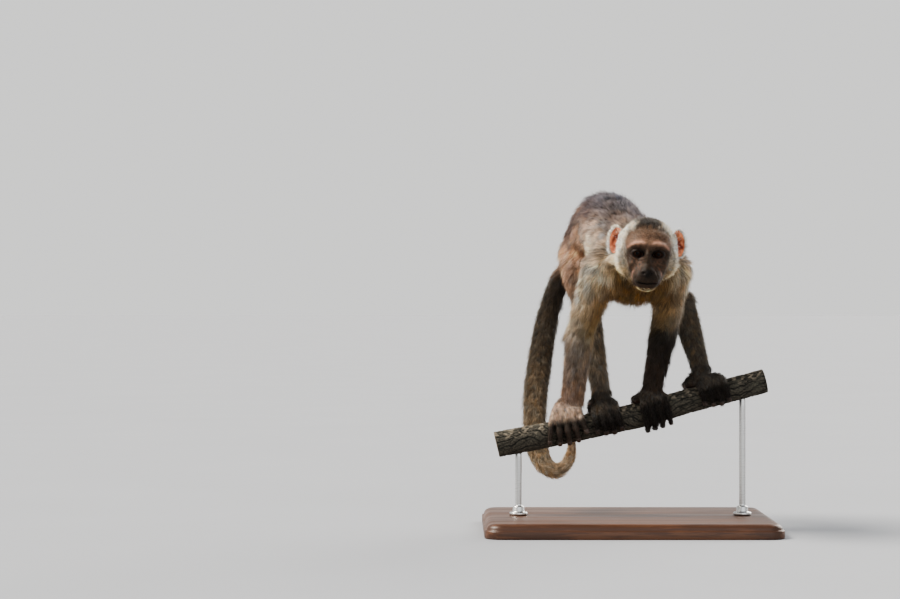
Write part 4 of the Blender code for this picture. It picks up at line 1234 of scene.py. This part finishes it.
nail_finish = Finish("nail_horn", Roughness=0.34, Specular_IOR_Level=0.5)
where = nail_finish.place()
band = nail_finish.noise(where, 700.0, 3.0)
nail_finish.feed(Base_Color=nail_finish.mixed(band, shade(38, 30, 27), shade(92, 74, 64)))
nail_finish.feed(Normal=nail_finish.raised(band, 0.0001, 0.6))
NAIL_ROWS, NAIL_COLUMNS = 7, 9
NAIL_WALL = 0.0005


def grid_quads(rows, columns):
    """The four-sided faces of a grid of corners, row by row."""
    flat = np.arange(rows * columns).reshape(rows, columns)
    return np.stack([flat[:-1, :-1], flat[1:, :-1], flat[1:, 1:], flat[:-1, 1:]], axis=-1).reshape(-1, 4)


def nail_plate(x_base, x_tip, start, reach, radius):
    """A nail's outer and inner faces: u along the digit and v across it, as wide as a flattened bell along
    u, arched across as a circle, and lifted off the digit's end by about its radius."""
    line, r = digit_line(x_base, x_tip, start, reach, radius)
    end, ahead = line[-1], unit(line[-1] - line[-2])
    outward = flattened((end - round_branch(x_tip, start + reach, 0.0))[None], ahead[None])[0]
    wing = np.cross(ahead, outward)
    u, v = np.meshgrid(np.linspace(0, 1, NAIL_ROWS), np.linspace(-1, 1, NAIL_COLUMNS), indexing="ij")
    half = 0.78 * r[-1] * np.sqrt(np.clip(1 - (0.9 * (u - 0.35) / 0.75) ** 4, 0.15, 1))
    arch = r[-1] * (0.98 + 0.10 * np.sin(math.pi * u)) * np.sqrt(1 - (0.70 * v) ** 2) + 0.0002
    top = end + (u[..., None] * 1.55 - 0.62) * r[-1] * ahead
    top = top + (v * half)[..., None] * wing + arch[..., None] * outward
    return top.reshape(-1, 3), (top - NAIL_WALL * outward).reshape(-1, 3)


sheet = NAIL_ROWS * NAIL_COLUMNS
flat = np.arange(sheet).reshape(NAIL_ROWS, NAIL_COLUMNS)
edge = np.concatenate([flat[0], flat[1:, -1], flat[-1, -2::-1], flat[-2:0:-1, 0]])
after = np.roll(edge, -1)
rim_faces = np.stack([edge, after, after + sheet, edge + sheet], axis=1)
plate_faces = grid_quads(NAIL_ROWS, NAIL_COLUMNS)
one_nail = np.vstack([plate_faces, plate_faces[:, ::-1] + sheet, rim_faces])
nail_places = [face for digits in DIGITS.values() for digit in digits for face in nail_plate(*digit)]
nail_faces = [one_nail + 2 * sheet * number for number in range(len(nail_places) // 2)]


def outward_faces(obj):
    """Turns a closed mesh's faces to point out."""
    shape = bmesh.new()
    shape.from_mesh(obj.data)
    bmesh.ops.recalc_face_normals(shape, faces=shape.faces)
    shape.to_mesh(obj.data)
    shape.free()
    return obj


nails = outward_faces(make_mesh("nails", np.vstack(nail_places), np.vstack(nail_faces)))
done_piece(nails, nail_finish, "bare_skin")

# ---------------------------------------------------------------- perch
# A short length of real branch, sawn square at both ends, its bark fissured along the grain with flaking
# plates along the top, drawn pale there as painted light. The rods run up into it from below.


def waves(u, v, seed, along, around, count=14):
    """Cloudy values near -1 to 1 on the bark, closed round it: waves of whole numbers round the branch."""
    chance = np.random.default_rng(seed)
    total = 0
    for _ in range(count):
        k = chance.integers(0, around + 1)
        f = chance.uniform(0.3, 1.0) * along
        way = chance.choice([-1, 1])
        total = total + np.sin(k * v + f * u * 2 * math.pi * way + chance.uniform(0, 2 * math.pi))
    return total / math.sqrt(count) * 0.9


BARK_ROWS, BARK_ROUND = 470, 168
u, v = np.meshgrid(
    np.linspace(0, 1, BARK_ROWS), np.linspace(0, 2 * math.pi, BARK_ROUND, endpoint=False), indexing="ij"
)
warp = 0.60 * waves(u, v, 41, 6, 3) + 0.10 * waves(u, v, 42, 30, 6)
fissure = step(0.0, 0.42, np.abs(np.sin(7 * v + 3.0 * warp)))
cross = step(0.0, 0.30, np.abs(waves(u, v, 43, 12, 7)))
grain = 0.5 + 0.5 * waves(u, v, 44, 110, 36, 22)
# Flaking plates, set only along the top of the branch, where their pale colour is painted light.
plate = step(0.2, 0.5, waves(u, v, 45, 44, 12, 18)) * step(0.15, 0.75, np.cos(v))
flake = step(-0.2, 0.5, waves(u, v, 46, 150, 30, 20)) * fissure
rough = -1.00 * (1 - fissure) - 0.55 * (1 - cross) * fissure
rough = rough - 0.40 * (1 - grain) - 0.26 * (1 - flake) + 0.35 * plate
rough = (rough - 0.05) * MM
bx = BRANCH_X[0] + u * (BRANCH_X[-1] - BRANCH_X[0])
bark_places = round_branch(bx, np.degrees(v), rough)
CAP_SHARES = (0.975, 0.93, 0.8, 0.66, 0.52, 0.38, 0.24, 0.12, 0.05)  # rings on a sawn end, out to in
caps = []
for end, inward in ((0, 1), (-1, -1)):
    rim = bark_places[end]
    core = rim.mean(axis=0)
    proud = inward * branch_run * -0.0003  # the sawn face stands a little past the bark's edge
    caps.append(np.stack([core + (rim - core) * s + proud * (s < 0.96) for s in CAP_SHARES]))
bark_rings = np.vstack([caps[0][::-1], bark_places, caps[1]])
places, sides = closed_rings(bark_rings, caps[0][-1].mean(axis=0), caps[1][-1].mean(axis=0))
bark = outward_faces(make_mesh("perch_bark", places, sides))
cap_out = np.repeat(CAP_SHARES[::-1], bark_rings.shape[1])
trait(bark, "sawn", np.concatenate([cap_out, np.full(rough.size, 2.0), cap_out[::-1], [0, 0]]))
trait(bark, "bark_height", np.concatenate([0 * cap_out, (rough / MM).ravel(), 0 * cap_out, [0, 0]]))
trait(bark, "plate", np.concatenate([0 * cap_out, plate.ravel(), 0 * cap_out, [0, 0]]))
bark_finish = Finish("bark", Roughness=0.88, Specular_IOR_Level=0.25)
where = bark_finish.place()
bark_height, sawn = bark_finish.attribute("bark_height"), bark_finish.attribute("sawn")
fibre = bark_finish.noise(bark_finish.stretched(where, 0.25, 1.0, 1.0), 520.0, 5.0)
lichen = bark_finish.noise(where, 60.0, 4.0)
# Darker the deeper the bark lies, in the fissures, and paler on the ridges.
colour = bark_finish.mixed(bark_finish.kept(bark_height, -1.15, -0.05), shade(38, 37, 33), shade(82, 77, 68))
colour = bark_finish.mixed(bark_finish.kept(lichen, 0.45, 0.75, 0.0, 0.5), colour, shade(88, 86, 75))
pale_plate_and_top_light = bark_finish.attribute("plate") * bark_finish.kept(fibre, 0.35, 0.6, 0.3, 1.0)
colour = bark_finish.mixed(pale_plate_and_top_light, colour, shade(126, 116, 101))
colour = bark_finish.toned(colour, bark_finish.kept(fibre, 0.25, 0.75, 0.68, 1.25))
year = bark_finish.sine((sawn + bark_finish.noise(where, 90.0, 2.0) * 0.06) * 68.0)
wood = bark_finish.mixed(bark_finish.kept(year, -0.8, 0.9), shade(104, 74, 48), shade(186, 150, 106))
wood = bark_finish.mixed(bark_finish.kept(sawn, 0.90, 0.97), wood, shade(70, 54, 42))
bark_finish.feed(Base_Color=bark_finish.mixed(bark_finish.kept(sawn, 1.0, 1.6), wood, colour))
grit = bark_finish.noise(where, 1500.0, 4.0, 0.7)
bark_finish.feed(Normal=bark_finish.raised(fibre * 0.8 + grit * 0.5 + lichen * 0.2, 0.0011, 0.9))
done_piece(bark, bark_finish, "bark", "perch_branch")

# ---------------------------------------------------------------- stand
# The base is a board of oiled walnut with a moulded edge. Two rods of brushed steel stand on it in
# turned collars and run up into the branch.

base_low, base_high = (np.array(c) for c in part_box("stand_base"))


def slab(low, high, corner, profile):
    """A rounded rectangle carried up a profile of (inset, height) steps: the outline is a square swept by
    corner arcs, drawn in by the inset at each step, and closed flat above and below."""
    half = (high - low) / 2
    centre = (high + low) / 2
    arc = np.linspace(0, math.pi / 2, 12)
    rings = []
    for inset, height in profile:
        r = max(corner - inset, 0.0005)
        hx, hy = half[0] - inset - r, half[1] - inset - r
        ring = []
        for k, (sx, sy) in enumerate(((1, 1), (-1, 1), (-1, -1), (1, -1))):
            turn = arc + k * math.pi / 2
            ring.append(np.stack([sx * hx + r * np.cos(turn), sy * hy + r * np.sin(turn)], axis=1))
        ring = np.vstack(ring)
        rings.append(np.column_stack([ring + centre[:2], np.full(len(ring), low[2] + height)]))
    rings = np.stack(rings)
    return closed_rings(rings, rings[0].mean(axis=0), rings[-1].mean(axis=0))


BASE_HIGH = float(base_high[2] - base_low[2])
BASE_CORNER = 0.022
# The moulded edge from below to above: how far it is drawn in, and the height.
PROFILE = [
    (0.02, 0), (0.0012, 0), (0.0003, 0.0006), (0.0, 0.0016), (0.0, 0.0085), (0.0005, 0.0098),
    (0.0022, 0.0104), (0.0026, 0.0110), (0.0030, 0.0128), (0.0042, 0.0148), (0.0060, 0.0163),
    (0.0082, 0.0173), (0.0105, BASE_HIGH - 0.0002), (0.0135, BASE_HIGH), (0.03, BASE_HIGH), (0.08, BASE_HIGH),
]
moulded = slab(base_low, base_high, BASE_CORNER, PROFILE)
wood_base = outward_faces(make_mesh("stand_base_wood", *moulded))
wood_finish = Finish("oiled_walnut", Specular_IOR_Level=0.45)
where = wood_finish.place()
board = wood_finish.stretched(where, 2.2, 26.0, 26.0)
bent = wood_finish.node("ShaderNodeVectorMath", {"operation": "ADD"}, {0: board, 1: (0.3, 0.1, 0.0)})
figure = wood_finish.noise(bent, 1.6, 6.0, 0.6)
pore = wood_finish.noise(wood_finish.stretched(where, 30.0, 1100.0, 1100.0), 1.0, 2.0)
streak = wood_finish.sine(figure * 34.0)
colour = wood_finish.mixed(wood_finish.kept(streak, -1.0, 1.0), shade(70, 44, 29), shade(94, 61, 40))
colour = wood_finish.mixed(wood_finish.kept(pore, 0.60, 0.75, 0.0, 0.6), colour, shade(44, 27, 18))
wood_finish.feed(Base_Color=colour, Roughness=wood_finish.kept(figure, 0.3, 0.7, 0.34, 0.48))
wood_finish.feed(Normal=wood_finish.raised(pore * 0.6 + streak * 0.1, 0.00015, 0.6))
done_piece(wood_base, wood_finish, "base_wood", "stand_base")

steel_finish = Finish("brushed_steel", Metallic=1.0)
where = steel_finish.place()
brush = steel_finish.noise(steel_finish.stretched(where, 60.0, 60.0, 2600.0), 1.0, 3.0)
steel_finish.feed(Base_Color=steel_finish.mixed(brush, (0.52, 0.52, 0.51), (0.66, 0.66, 0.65)))
steel_finish.feed(Roughness=steel_finish.kept(brush, 0.3, 0.7, 0.26, 0.42))
steel_finish.feed(Normal=steel_finish.raised(brush, 0.00004, 0.5))
for name in ("stand_rod_right", "stand_rod_left"):
    low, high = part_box(name)
    cx, cy = (low[0] + high[0]) / 2, (low[1] + high[1]) / 2
    r = (high[0] - low[0]) / 2
    foot, head_end = float(low[2]), float(high[2])
    collar = (  # radius, and height over the base
        (0.0105, 0), (0.0112, 0.0006), (0.0112, 0.0030), (0.0104, 0.0038), (0.0078, 0.0042), (0.0072, 0.0052),
        (0.0070, 0.0100), (0.0062, 0.0112), (r + 0.0004, 0.0116), (r, 0.0120),
    )
    outline = [(w, foot + h) for w, h in collar]
    outline += [(r, h) for h in np.linspace(foot + 0.014, head_end - 0.001, 12)] + [(r - 0.0004, head_end)]
    spin = np.linspace(0, 2 * math.pi, AROUND, endpoint=False)
    w, h = (np.array(column)[:, None] for column in zip(*outline))
    rings = np.stack([cx + w * np.cos(spin), cy + w * np.sin(spin), h + 0 * spin], axis=-1)
    rod = make_mesh(name + "_steel", *closed_rings(rings, (cx, cy, foot), (cx, cy, head_end)))
    done_piece(outward_faces(rod), steel_finish, "rod_steel", name)

# ---------------------------------------------------------------- floor, light and camera
# A plain pale studio floor, three broad far lamps from the side, behind and in front, a plain room
# that lights it softly all round, and the camera, which looks level from 3 m off.

floor_finish = Finish("studio_floor", Roughness=0.8)
where = floor_finish.place()
speck = floor_finish.noise(where, 3.0, 4.0)
floor_finish.feed(Base_Color=floor_finish.mixed(speck, (0.341, 0.352, 0.375), (0.371, 0.384, 0.409)))
FLOOR_REACH, FLOOR_LINES = 40.0, 25
line = np.linspace(-FLOOR_REACH, FLOOR_REACH, FLOOR_LINES)
gx, gy = np.meshgrid(line, line, indexing="ij")
floor_places = np.stack([gx, gy, 0 * gx], axis=-1).reshape(-1, 3)
floor = make_mesh("floor", floor_places, grid_quads(FLOOR_LINES, FLOOR_LINES))
floor.data.materials.append(floor_finish.material)


def soft_light(name, come_from, strength, spread, colour):
    """A broad far lamp that shines from a direction, spread degrees across."""
    light = bpy.data.lights.new(name, "SUN")
    light.energy, light.angle, light.color = strength, math.radians(spread), colour
    lamp = bpy.data.objects.new(name, light)
    lamp.location = 2 * Vector(come_from)
    lamp.rotation_euler = (-Vector(come_from)).to_track_quat("-Z", "Y").to_euler()
    bpy.context.scene.collection.objects.link(lamp)


soft_light("key", (-0.66, 0.02, 0.75), 5.6, 24, (1.0, 0.94, 0.85))
soft_light("back", (0.55, 0.75, 0.45), 1.8, 34, (1.0, 0.96, 0.90))
soft_light("front", (0.25, -0.85, 0.45), 0.7, 60, (0.92, 0.96, 1.0))
world = bpy.data.worlds.new("room")
world.use_nodes = True
room = Nodes(world.node_tree)
rise = room.node("ShaderNodeTexCoord", out="Generated")
rise = room.node("ShaderNodeSeparateXYZ", inputs={0: rise}, out="Z")
stops = ((0.22, (0.84, 0.84, 0.83, 1)), (0.75, (0.34, 0.35, 0.37, 1)))  # paler low down than overhead
walls = room.node("ShaderNodeValToRGB", {"stops": stops}, {0: rise})
room.tree.links.new(walls.socket, room.tree.nodes["Background"].inputs["Color"])
bpy.context.scene.world = world
bpy.context.scene.view_settings.look = "AgX - Medium High Contrast"

lens = bpy.data.cameras.new("view")
lens.sensor_width, lens.lens = 36.0, 96.6
camera = bpy.data.objects.new("view", lens)
camera.location = (-0.2211, -3.0, 0.286)
camera.rotation_euler = (math.radians(90), 0, 0)
bpy.context.scene.collection.objects.link(camera)
bpy.context.scene.camera = camera
